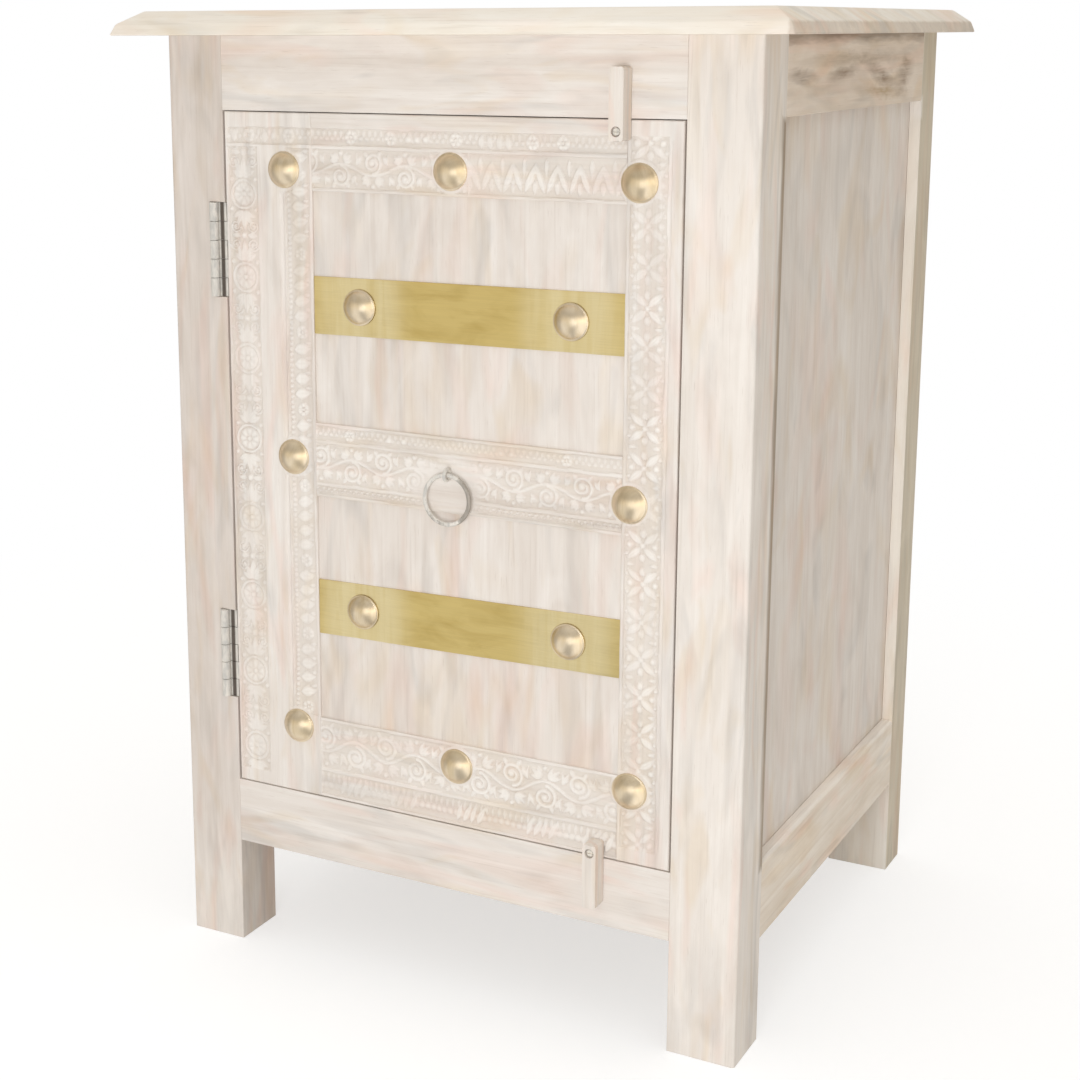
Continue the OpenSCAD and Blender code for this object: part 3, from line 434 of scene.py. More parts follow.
def moulded(name, colour, roughness):
    """Moulded plastic or sintered magnet: fine grain in the colour and in the surface."""
    tree, shader = new_material(name)
    speckle = grain(tree, "Z", 0.0008, 0.0008, 3.0)
    tint = add(tree, "ShaderNodeMix", speckle, rgba(colour), rgba(colour, 1.5), data_type="RGBA")
    roughness = add(tree, "ShaderNodeMapRange", speckle, 0.3, 0.7, roughness, roughness + 0.15)
    dress(tree, shader, tint, roughness, speckle, 0.2, 0.0001)


# Meshes

def finish_piece(name, mesh, body, finish, replaced=()):
    """Turns a mesh into a piece that rides on a body and stands in for CAD nodes."""
    mesh.name = name
    piece = bpy.data.objects.new(name, mesh)
    bpy.context.scene.collection.objects.link(piece)
    mesh.materials.clear()
    mesh.materials.append(material(finish))
    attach(piece, body)
    if replaced:
        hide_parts(*replaced)
    return piece


def paint(node, finish):
    """Gives a CAD node a finish and leaves its mesh as it is."""
    frame["nodes"][node].material_slots[0].material = material(finish)


def merged_copy(node):
    """A CAD node's mesh as one bmesh, with its doubled points merged."""
    bm = bmesh.new()
    bm.from_mesh(frame["nodes"][node].data)
    bmesh.ops.remove_doubles(bm, verts=bm.verts, dist=1e-6)
    return bm


def body_of(node):
    """The body that a CAD node rides on."""
    for body, members in frame["record"]["behaviour"]["bodies"].items():
        if node in members:
            return body
    raise RuntimeError(f"no body holds {node}")


def mesh_from(bm, name):
    """A mesh made from a bmesh, which is then freed."""
    mesh = bpy.data.meshes.new(name)
    bm.to_mesh(mesh)
    bm.free()
    return mesh


def smooth_mesh(mesh, angle=35, flat=()):
    """Shades a mesh smooth between its sharp edges, apart from the flat faces listed."""
    if mesh.has_custom_normals:
        # A copy's normals belong to the CAD mesh as it was before its points were merged
        mesh.attributes.remove(mesh.attributes["custom_normal"])
    for polygon in mesh.polygons:
        polygon.use_smooth = True
    mesh.set_sharp_from_angle(angle=math.radians(angle))
    for index in flat:
        mesh.polygons[index].use_smooth = False


def worn_board(node, finish, width=None):
    """A copy of a board whose long outer edges are worn round."""
    bm = merged_copy(node)
    bmesh.ops.dissolve_limit(bm, angle_limit=math.radians(1), verts=bm.verts, edges=bm.edges)
    edges = [
        e for e in bm.edges
        if len(e.link_faces) == 2 and e.calc_length() > SHORTEST_WORN_EDGE
        and e.calc_face_angle_signed() > math.radians(LEAST_WORN_TURN)
    ]
    bmesh.ops.bevel(bm, geom=edges, offset=width or settings().wash.wear, segments=2,
                    profile=0.5, affect="EDGES", clamp_overlap=False)
    mesh = mesh_from(bm, node)
    square = [p.index for p in mesh.polygons if max(abs(part) for part in p.normal) > 0.9999]
    smooth_mesh(mesh, 50, square)
    return finish_piece(f"worn_{node}", mesh, body_of(node), finish, [node])


def islands(node):
    """The separate solids of a node, each as its lowest and highest corner."""
    bm = merged_copy(node)
    left = set(bm.verts)
    boxes = []
    while left:
        stack = [left.pop()]
        part = []
        while stack:
            vert = stack.pop()
            part.append(vert.co.copy())
            for edge in vert.link_edges:
                other = edge.other_vert(vert)
                if other in left:
                    left.remove(other)
                    stack.append(other)
        boxes.append(tuple(
            Vector(end(p[i] for p in part) for i in range(3)) for end in (min, max)))
    bm.free()
    return sorted(boxes, key=lambda b: (round(b[0].x, 4), round(b[0].z, 4)))


# Relief of the carved frame, in millimetres along x (right) and z (up)

# Heights of one flower of the hinge stile's outer band and of one group of its petals
HINGE_FLOWER_Z = 462.0
PETAL_GROUP_Z = 404.0
# How raised a plain face counts, between the ground and the top of the ornament
PLAIN = 0.30
# Radius of the level seat under a stud
STUD_SEAT = 12.5
# The carved face meets the CAD mesh this far behind its ground, and is nowhere thinner than this
BEHIND_GROUND = 0.2
THINNEST = 0.05


def soft_noise(x, z, size, seed):
    """Smooth noise between 0 and 1, its swells about as large as size."""
    grid = np.random.default_rng(seed).random((64, 64))
    u, v = x / size + 17.0, z / size + 23.0
    iu, iv = np.floor(u).astype(int), np.floor(v).astype(int)
    fu, fv = u - iu, v - iv
    fu, fv = fu * fu * (3 - 2 * fu), fv * fv * (3 - 2 * fv)
    a, b = grid[iu % 64, iv % 64], grid[(iu + 1) % 64, iv % 64]
    c, d = grid[iu % 64, (iv + 1) % 64], grid[(iu + 1) % 64, (iv + 1) % 64]
    return (a * (1 - fu) + b * fu) * (1 - fv) + (c * (1 - fu) + d * fu) * fv


def dome(reach):
    """A round back over -1 to 1."""
    return np.sqrt(np.clip(1 - reach * reach, 0, 1))


def ramp(value, low, high):
    """A soft step from 0 at low to 1 at high."""
    t = np.clip((value - low) / (high - low), 0, 1)
    return t * t * (3 - 2 * t)


def bead(u, v, u0, v0, radius):
    """A round bead."""
    return dome(np.hypot(u - u0, v - v0) / radius)


def petal(u, v, u0, v0, angle, length, width):
    """A pointed leaf from its root at (u0, v0), with a shallow vein."""
    c, s = math.cos(math.radians(angle)), math.sin(math.radians(angle))
    p = ((u - u0) * c + (v - v0) * s) / length
    q = ((v - v0) * c - (u - u0) * s) / (width / 2)
    inside = (p > 0) & (p < 1)
    outline = np.sin(np.pi * np.clip(p, 0, 1) ** 0.8)
    back = dome(q / np.maximum(outline, 0.02)) * (0.4 + 0.6 * np.sqrt(np.clip(outline, 0, 1)))
    vein = 0.3 * np.exp(-(q / 0.22) ** 2) * ramp(p, 0.05, 0.3)
    return np.where(inside, np.clip(back - vein, 0, 1), 0)


def rosette(u, v, u0, v0, radius, count):
    """A flower with a round eye and a ring of petals."""
    reach = np.hypot(u - u0, v - v0) / radius
    turn = np.arctan2(v - v0, u - u0)
    lobes = np.abs(np.cos(turn * count / 2)) ** 0.7
    ring = dome((reach - 0.64) / 0.36) * (0.2 + 0.8 * lobes)
    return np.maximum(ring, dome(reach / 0.25))


def vine(u, v, swing, pitch, width):
    """A stem that swings from side to side along u."""
    phase = 2 * np.pi * u / pitch
    slope = swing * 2 * np.pi / pitch * np.cos(phase)
    return dome((v - swing * np.sin(phase)) / np.sqrt(1 + slope ** 2) / (width / 2)) * 0.8


def folded(u, pitch):
    """Folds u into repeats, as the distance from each repeat's middle."""
    return u - np.round(u / pitch) * pitch


def highest(*parts):
    """Several reliefs as one."""
    return np.maximum.reduce(parts)


def fan(u, v, u0, v0, lean, apart, count, length, width):
    """Leaves that spread from one root, the middle one the longest."""
    sides = [i - (count - 1) / 2 for i in range(count)]
    return highest(*(
        petal(u, v, u0, v0, lean + side * apart, length * (1 - 0.14 * abs(side)), width)
        for side in sides))


def curl(u, v, u0, v0, radius, start, way=1):
    """A tendril that winds in to a bead."""
    reach = np.hypot(u - u0, v - v0)
    turn = np.mod(way * np.arctan2(v - v0, u - u0) - math.radians(start), 2 * np.pi) / (2 * np.pi)
    laps = [
        dome((reach - radius * (1 - 0.46 * (turn + lap))) / (radius * 0.15)) * (0.95 - 0.2 * lap)
        for lap in (0, 1)]
    return highest(bead(u, v, u0, v0, radius * 0.24), *laps)


def bead_string(u, v, v0, pitch, radius):
    """A row of beads along u."""
    return bead(folded(u, pitch), v, 0, v0, radius)


def rosette_and_leaves(u, v, half):
    """A ringed flower, then sprays of leaves that meet at a lozenge, over and over."""
    w = folded(u, 53.0)
    parts = [rosette(w, v, 0, 0, half * 0.70, 8),
             dome((np.hypot(w, v) - half * 0.86) / 0.9) * 0.85]
    for side in (-1, 1):
        lean = 0 if side > 0 else 180
        parts += [fan(w, v, side * (half + 0.4), 0, lean, 33, 5, 13.0, 4.6),
                  bead(w, v, side * 26.5, 0, 2.1)]
        for flip in (-1, 1):
            parts += [
                curl(w, v, side * 20.6, flip * half * 0.62, 4.0, 90, side * flip) * 0.9,
                petal(w, v, side * 26.5, flip * 2.4, flip * 90, half * 0.72, 3.8) * 0.9,
                bead(w, v, side * half * 0.9, flip * half * 0.86, 1.5)]
    return highest(*parts)


def petal_groups(u, v, half):
    """Groups of four fat petals across the band, with a small flower between the groups."""
    w = folded(u, 50.0)
    parts = [bead_string(u, v, -half * 0.80, 3.4, 1.35) * 0.8,
             rosette(np.abs(w) - 25.0, v, 0, half * 0.18, half * 0.52, 6)]
    for i in range(4):
        place = (i - 1.5) * 9.6
        parts += [petal(w, v, place - 1.0, -half * 0.52, 82, half * 1.45, 7.6),
                  petal(w, v, place + 4.0, half * 0.95, -96, half * 0.6, 2.4) * 0.7]
    return highest(*parts)


def scrolls(u, v, half, pitch=46.0):
    """A running stem that winds into a scroll at every turn, with leaves in all the gaps."""
    turn = u - pitch / 4
    w = folded(turn, pitch / 2)
    across = v * np.where(np.mod(np.round(turn / (pitch / 2)), 2) == 0, -1.0, 1.0)
    parts = [vine(u, v, half * 0.30, pitch, 2.2),
             curl(w, across, 0, half * 0.36, min(half * 0.58, pitch * 0.17), -90),
             bead(w, across, 0, -half * 0.86, 1.5)]
    for lean in (-1, 1):
        parts += [
            fan(w, across, lean * 2.5, -half * 0.42, -90 + lean * 50, 30, 3, half * 0.62, 3.6),
            fan(w, across, lean * pitch * 0.235, half * 0.30, 90 - lean * 8, 36, 3, half * 0.66, 3.4),
            petal(w, across, lean * pitch * 0.13, half * 0.98, -90 - lean * 30, half * 0.45, 2.8)
            * 0.85]
    return highest(*parts)


def zigzag_leaves(u, v, half):
    """Tall leaves that lean left and right in turn, with beads between their tips."""
    w = folded(u, 14.5)
    parts = [petal(w, v, 0, half * 0.9, -90, half * 1.0, 3.0) * 0.9,
             bead(np.abs(w), v, 7.25, half * 0.25, 1.3) * 0.8]
    for lean in (-1, 1):
        parts += [petal(w, v, lean * 0.8, -half * 0.86, 90 - lean * 21, half * 1.75, 4.2),
                  petal(w, v, lean * 7.2, -half * 0.9, 90 + lean * 4, half * 0.75, 2.6) * 0.85]
    return highest(*parts)


def diamond_leaves(u, v, half):
    """Pairs of slanting leaves that meet in a row of diamonds, with beads and tendrils between."""
    w = folded(u, 23.5)
    parts = [bead(w, v, 0, 0, 1.8)]
    for flip in (-1, 1):
        for along in (-1, 1):
            lean = flip * 90 - along * flip * 40
            back = -flip * 90 + along * flip * 26
            parts += [
                petal(w, v, along * 1.2, flip * 0.8, lean, half * 1.1, 4.8),
                petal(w, v, along * 10.9, flip * half * 0.9, back, half * 0.82, 3.6) * 0.9,
                petal(w, v, along * 4.6, flip * 0.6, 0 if along > 0 else 180, 6.0, 2.8) * 0.9]
        parts += [bead(w, v, 0, flip * half * 0.72, 2.0),
                  bead(np.abs(w), v, 5.4, flip * half * 0.9, 1.2) * 0.8]
    return highest(*parts)


def row_ornaments(u, v, half, places, filler=0.0):
    """Single ornaments along a narrow row: each is a kind and its place."""
    height = np.zeros_like(u)
    if filler:
        beads = bead_string(u, v, -half * 0.2, 4.1, half * 0.30) * filler
        leaves = petal(folded(u + 2.05, 4.1), v, 0, half * 0.95, -90, half * 1.0, 2.2) * filler
        height = highest(beads, leaves)
    for kind, place in places:
        if kind == "rosette":
            height = height * ramp(np.abs(u - place), half * 1.0, half * 1.3)
            made = rosette(u, v, place, 0, half * 0.98, 6)
        elif kind == "bead":
            made = bead(u, v, place, 0, half * 0.5)
        elif kind == "scallop":
            made = petal(u, v, place, -half * 0.9, 90, half * 1.8, half * 1.0)
        else:
            made = highest(
                petal(u, v, place, -half * 0.85, 66, half * 1.9, half * 0.62),
                petal(u, v, place - half * 0.62, -half * 0.85, 74, half * 1.8, half * 0.55))
        height = highest(height, made)
    return height


class Face:
    """The face of one carved member: how deep each of its points lies, and what is raised."""

    def __init__(self, x0, x1, z0, z1, seed):
        step = settings().carving.step / MM
        self.seed = seed
        self.box = (x0, x1, z0, z1)
        xs = np.linspace(x0, x1, max(2, round((x1 - x0) / step)) + 1)
        zs = np.linspace(z0, z1, max(2, round((z1 - z0) / step)) + 1)
        self.x, self.z = np.meshgrid(xs, zs, indexing="ij")
        self.depth = np.zeros_like(self.x)
        self.raised = np.full_like(self.x, PLAIN)

    def hand(self, amount=0.35):
        """Coordinates that wander a little, as hand carving does."""
        dx = (soft_noise(self.x, self.z, 9.0, self.seed) - 0.5) * 2 * amount
        dz = (soft_noise(self.x, self.z, 9.0, self.seed + 1) - 0.5) * 2 * amount
        return self.x + dx, self.z + dz

    def band(self, x0, x1, z0, z1, ornament, upright, strength=1.0, offset=None):
        """Sinks a band and leaves an ornament standing in it. offset is where a repeat starts."""
        carving = settings().carving
        ground = carving.ground / MM
        x, z = self.hand()
        inside = np.minimum(np.minimum(x - x0, x1 - x), np.minimum(z - z0, z1 - z))
        sunk = ramp(inside, 0.0, 0.8)
        if upright:
            start = (z0 + z1) / 2 if offset is None else offset
            u, v, half = z - start, x - (x0 + x1) / 2, (x1 - x0) / 2 - 0.9
        else:
            u, v, half = x - (x0 + x1) / 2, z - (z0 + z1) / 2, (z1 - z0) / 2 - 0.9
        height = ornament(u, v, half)
        faded = ramp(soft_noise(self.x, self.z, 38.0, self.seed + 2), 0.25, 0.6)
        kept = 1 - carving.worn * (1 - faded)
        height = np.clip(height * kept * strength, 0, 1) ** 0.85
        floor = 0.80 + 0.20 * soft_noise(self.x, self.z, 2.2, self.seed + 3)
        made = sunk * ground * (floor - height * 0.92)
        self.depth = np.maximum(self.depth, made)
        self.raised = np.where(sunk > 0.5, height, self.raised)

    def calm(self, x0, z0, reach_x, reach_z, kept):
        """Leaves only a share of the relief in an oval that hands have rubbed, with soft edges."""
        reach = np.hypot((self.x - x0) / reach_x, (self.z - z0) / reach_z)
        reach = reach + (soft_noise(self.x, self.z, 7.0, self.seed + 8) - 0.5) * 0.5
        calm = ramp(reach, 1.35, 0.75) * (1 - kept)
        self.depth = self.depth * (1 - calm)
        self.raised = self.raised * (1 - calm) + PLAIN * calm

    def seat(self, x0, z0, radius):
        """Keeps a round seat level with the face, for a stud or the ring pull's eye."""
        keep = ramp(np.hypot(self.x - x0, self.z - z0), radius + 1.5, radius)
        self.depth = self.depth * (1 - keep) + 0.1 * keep
        self.raised = self.raised * (1 - keep) + PLAIN * keep

    def groove(self, x0, width, depth, z0, z1):
        """A shallow upright groove with round lips."""
        x, z = self.hand(0.25)
        ends = ramp(np.minimum(z - z0, z1 - z), 0.0, 6.0)
        self.depth = np.maximum(self.depth, depth * dome((x - x0) / (width / 2)) * ends)

    def wear(self, left, right, bottom, top):
        """Rounds the four edges by the radii given and lets the face undulate slightly."""
        x0, x1, z0, z1 = self.box
        uneven = 0.7 + 0.6 * soft_noise(self.x, self.z, 14.0, self.seed + 5)
        for inside, radius in ((self.x - x0, left), (x1 - self.x, right),
                               (self.z - z0, bottom), (z1 - self.z, top)):
            r = radius * uneven
            drop = r - np.sqrt(np.clip(r * r - np.clip(r - inside, 0, r) ** 2, 0, None))
            self.depth = np.maximum(self.depth, drop)
        swell = soft_noise(self.x, self.z, 3.0, self.seed + 6) * 0.05
        self.depth = np.clip(self.depth + swell, 0.0, None)


def cap_mesh(x, z, depth, raised, back):
    """A closed shell from a face of points back to a flat plane, back millimetres behind it."""
    nx, nz = x.shape
    front = np.stack([x, FACE_Y + np.minimum(depth, back - THINNEST), z], axis=-1)
    ring = ([(i, 0) for i in range(nx)] + [(nx - 1, j) for j in range(1, nz)]
            + [(i, nz - 1) for i in range(nx - 2, -1, -1)] + [(0, j) for j in range(nz - 2, 0, -1)])
    rim = np.array([front[i, j] for i, j in ring])
    rim[:, 1] = FACE_Y + back
    points = np.concatenate([front.reshape(-1, 3), rim]) * MM
    i, j = np.meshgrid(np.arange(nx - 1), np.arange(nz - 1), indexing="ij")
    a = (i * nz + j).ravel()
    faces = np.stack([a, a + nz, a + nz + 1, a + 1], axis=-1).tolist()
    first = nx * nz
    count = len(ring)
    for k in range(count):
        (i0, j0), (i1, j1) = ring[k], ring[(k + 1) % count]
        faces.append([first + k, first + (k + 1) % count, i1 * nz + j1, i0 * nz + j0])
    faces.append([first + k for k in range(count - 1, -1, -1)])
    mesh = bpy.data.meshes.new("cap")
    mesh.from_pydata(points.tolist(), [], faces)
    values = np.concatenate([raised.ravel(), np.full(count, PLAIN)])
    mesh.attributes.new("raised", "FLOAT", "POINT").data.foreach_set("value", values)
    return mesh


def carved_member(node, face, finish):
    """Joins a carved face to what the CAD node has behind it: mortises, grooves and holes."""
    back = settings().carving.ground / MM + BEHIND_GROUND
    bm = merged_copy(node)
    layer = bm.verts.layers.float.new("raised")
    cut = bmesh.ops.bisect_plane(
        bm, geom=bm.verts[:] + bm.edges[:] + bm.faces[:], dist=1e-7,
        plane_co=(0, (FACE_Y + back) * MM, 0), plane_no=(0, -1, 0), clear_outer=True)
    rim = [e for e in cut["geom_cut"] if isinstance(e, bmesh.types.BMEdge)]
    bmesh.ops.triangle_fill(bm, use_beauty=True, edges=rim, normal=(0, -1, 0))
    for vert in bm.verts:
        vert[layer] = PLAIN
    plain = len(bm.faces)
    cap = cap_mesh(face.x, face.z, face.depth, face.raised, back)
    bm.from_mesh(cap)
    bpy.data.meshes.remove(cap)
    mesh = mesh_from(bm, node)
    smooth_mesh(mesh, 50, range(plain))
    return finish_piece(f"carved_{node}", mesh, "door", finish, [node])


# Geometry Nodes groups

# Share of a stud's radius that its dome takes, inside the rolled rim
DOME_SHARE = 0.95
# A round head's flat top and a slot's width and length, as shares of the head's radius
HEAD_TOP = 0.8
SLOT_WIDTH = 0.32
SLOT_LENGTH = 3.0


def new_group(name, sizes):
    """A group with its sizes as inputs, those inputs' identifiers, and its inputs' outputs."""
    tree = bpy.data.node_groups.new(name, "GeometryNodeTree")
    for way in ("INPUT", "OUTPUT"):
        tree.interface.new_socket(name="Geometry", in_out=way, socket_type="NodeSocketGeometry")
    identifiers = {}
    for label, default in sizes.items():
        socket = tree.interface.new_socket(name=label, in_out="INPUT", socket_type="NodeSocketFloat")
        socket.default_value = default
        identifiers[label] = socket.identifier
    return tree, identifiers, add(tree, "NodeGroupInput").node.outputs


def instance_on_points(tree, points, shape):
    """Sets a shape on every point, turned by the point's own turn attribute, as real meshes."""
    turn = add(tree, "GeometryNodeInputNamedAttribute", "turn", data_type="FLOAT_VECTOR")
    turn = add(tree, "FunctionNodeEulerToRotation", turn)
    placed = add(tree, "GeometryNodeInstanceOnPoints", Points=points, Instance=shape, Rotation=turn)
    return add(tree, "GeometryNodeRealizeInstances", placed)


def close_group(tree, geometry, finish):
    """Ends a group: real meshes, with their finish set."""
    real = add(tree, "GeometryNodeRealizeInstances", geometry)
    painted = add(tree, "GeometryNodeSetMaterial", Geometry=real, Material=material(finish))
    add(tree, "NodeGroupOutput", painted)


def grow(name, tree, identifiers, values, points, turns, body, finish, replaced, angle=40):
    """Runs a group on loose points and keeps the result as one plain piece."""
    mesh = bpy.data.meshes.new(name)
    mesh.from_pydata([tuple(p) for p in points], [], [])
    turn = mesh.attributes.new("turn", "FLOAT_VECTOR", "POINT")
    for i, value in enumerate(turns):
        turn.data[i].vector = value
    seed = bpy.data.objects.new(name, mesh)
    bpy.context.scene.collection.objects.link(seed)
    modifier = seed.modifiers.new("grow", "NODES")
    modifier.node_group = tree
    for key, value in values.items():
        modifier[identifiers[key]] = value
    graph = bpy.context.evaluated_depsgraph_get()
    made = bpy.data.meshes.new_from_object(seed.evaluated_get(graph))
    bpy.data.objects.remove(seed)
    bpy.data.meshes.remove(mesh)
    if "turn" in made.attributes:
        made.attributes.remove(made.attributes["turn"])
    smooth_mesh(made, angle)
    return finish_piece(name, made, body, finish, replaced)


def stud_group():
    """A raised brass stud: a ball drawn into a dome with a thin rolled rim, and hammered."""
    tree, identifiers, source = new_group("domed stud", {
        "Radius": 0.012, "Height": STUD_HEIGHT, "Rim": 0.0007, "Hammer": 0.00012})
    ball = add(tree, "GeometryNodeMeshUVSphere", Segments=56, Rings=36, Radius=1.0)
    place = add(tree, "GeometryNodeInputPosition")
    x, y, z = add(tree, "ShaderNodeSeparateXYZ", place).node.outputs
    flat = add(tree, "ShaderNodeCombineXYZ", x, y)
    reach = add(tree, "ShaderNodeVectorMath", flat, operation="LENGTH")

    # The dome is a cap between a parabola and a half ball in shape, with a rolled rim at its foot
    inner = add(tree, "ShaderNodeMath", reach, DOME_SHARE, operation="DIVIDE", use_clamp=True)
    fall = add(tree, "ShaderNodeMath", inner, 2.2, operation="POWER")
    cap = add(tree, "ShaderNodeMath", weighted(tree, 1.0, (fall, -1.0)), 0.85, operation="POWER")
    rise = add(tree, "ShaderNodeMath", cap, source["Height"], operation="MULTIPLY")
    ringed = add(tree, "ShaderNodeMath", weighted(tree, -DOME_SHARE, (reach, 1.0)),
                 1 - DOME_SHARE, operation="DIVIDE")
    ringed = add(tree, "ShaderNodeMath", ringed, ringed, operation="MULTIPLY")
    ringed = add(tree, "ShaderNodeMath", weighted(tree, 1.0, (ringed, -1.0)), 0.0,
                 operation="MAXIMUM")
    ringed = add(tree, "ShaderNodeMath", ringed, operation="SQRT")
    lip = add(tree, "ShaderNodeMath", ringed, source["Rim"], operation="MULTIPLY")
    top = add(tree, "ShaderNodeMath", rise, lip, operation="MAXIMUM")
    # The ball's lower half becomes a flat base, a little below the rim
    up = add(tree, "ShaderNodeMath", z, 0.0, operation="GREATER_THAN")
    top = weighted(tree, -STUD_BASE, (top, up), (up, STUD_BASE))
    shaped = add(tree, "ShaderNodeCombineXYZ",
                 add(tree, "ShaderNodeMath", x, source["Radius"], operation="MULTIPLY"),
                 add(tree, "ShaderNodeMath", y, source["Radius"], operation="MULTIPLY"), top)
    drawn = add(tree, "GeometryNodeSetPosition", Geometry=ball, Position=shaped)
    real = instance_on_points(tree, source["Geometry"], drawn)

    # Light hammer marks, different on every stud because they follow its place
    place = add(tree, "GeometryNodeInputPosition")
    marks = add(tree, "ShaderNodeTexNoise", Vector=place, Scale=260.0, Detail=1.0)
    push = add(tree, "ShaderNodeVectorMath", marks.node.outputs["Color"], (0.5, 0.5, 0.5),
               operation="SUBTRACT")
    push = add(tree, "ShaderNodeVectorMath", push, source["Hammer"], operation="SCALE")
    close_group(tree, add(tree, "GeometryNodeSetPosition", Geometry=real, Offset=push),
                "polished stud brass")
    return tree, identifiers


def screw_group(name, finish, sunk):
    """A slotted wood screw: a countersunk or a round head over its shank."""
    tree, identifiers, source = new_group(name, {
        "Head": 0.0028, "Shank": 0.0014, "Length": 0.014, "Rise": 0.0014})
    head, shank, length, rise = (source[label] for label in ("Head", "Shank", "Length", "Rise"))
    if sunk:
        top, base = head, shank
        down = weighted(tree, 0.0, (rise, -1.0))
    else:
        top, base = weighted(tree, 0.0, (head, HEAD_TOP)), head
        down = 0.0

    def lifted(shape, height):
        offset = add(tree, "ShaderNodeCombineXYZ", 0.0, 0.0, height)
        return add(tree, "GeometryNodeTransform", Geometry=shape, Translation=offset)

    cone = add(tree, "GeometryNodeMeshCone", Vertices=40, Radius_Top=top, Radius_Bottom=base,
               Depth=rise)
    slot = add(tree, "ShaderNodeCombineXYZ", weighted(tree, 0.0, (head, SLOT_LENGTH)),
               weighted(tree, 0.0, (head, SLOT_WIDTH)), rise)
    slot = add(tree, "GeometryNodeMeshCube", slot)
    slot = lifted(slot, add(tree, "ShaderNodeMath", down, rise, operation="ADD"))
    slotted = add(tree, "GeometryNodeMeshBoolean", Mesh_1=lifted(cone, down), Mesh_2=slot,
                  operation="DIFFERENCE", solver="EXACT")
    # The shank starts inside the head, below its slot
    stem = add(tree, "GeometryNodeMeshCylinder", Vertices=20, Radius=shank, Depth=length)
    stem = lifted(stem, weighted(tree, 0.0, (length, -0.5), (rise, -0.7 if sunk else 0.3)))
    both = add(tree, "GeometryNodeJoinGeometry", slotted)
    tree.links.new(stem, both.node.inputs["Geometry"])
    close_group(tree, instance_on_points(tree, source["Geometry"], both), finish)
    return tree, identifiers


# Operators

def near(corner, x, y, z):
    """A place x, y and z millimetres away from a corner."""
    return corner + Vector((x, y, z)) * MM


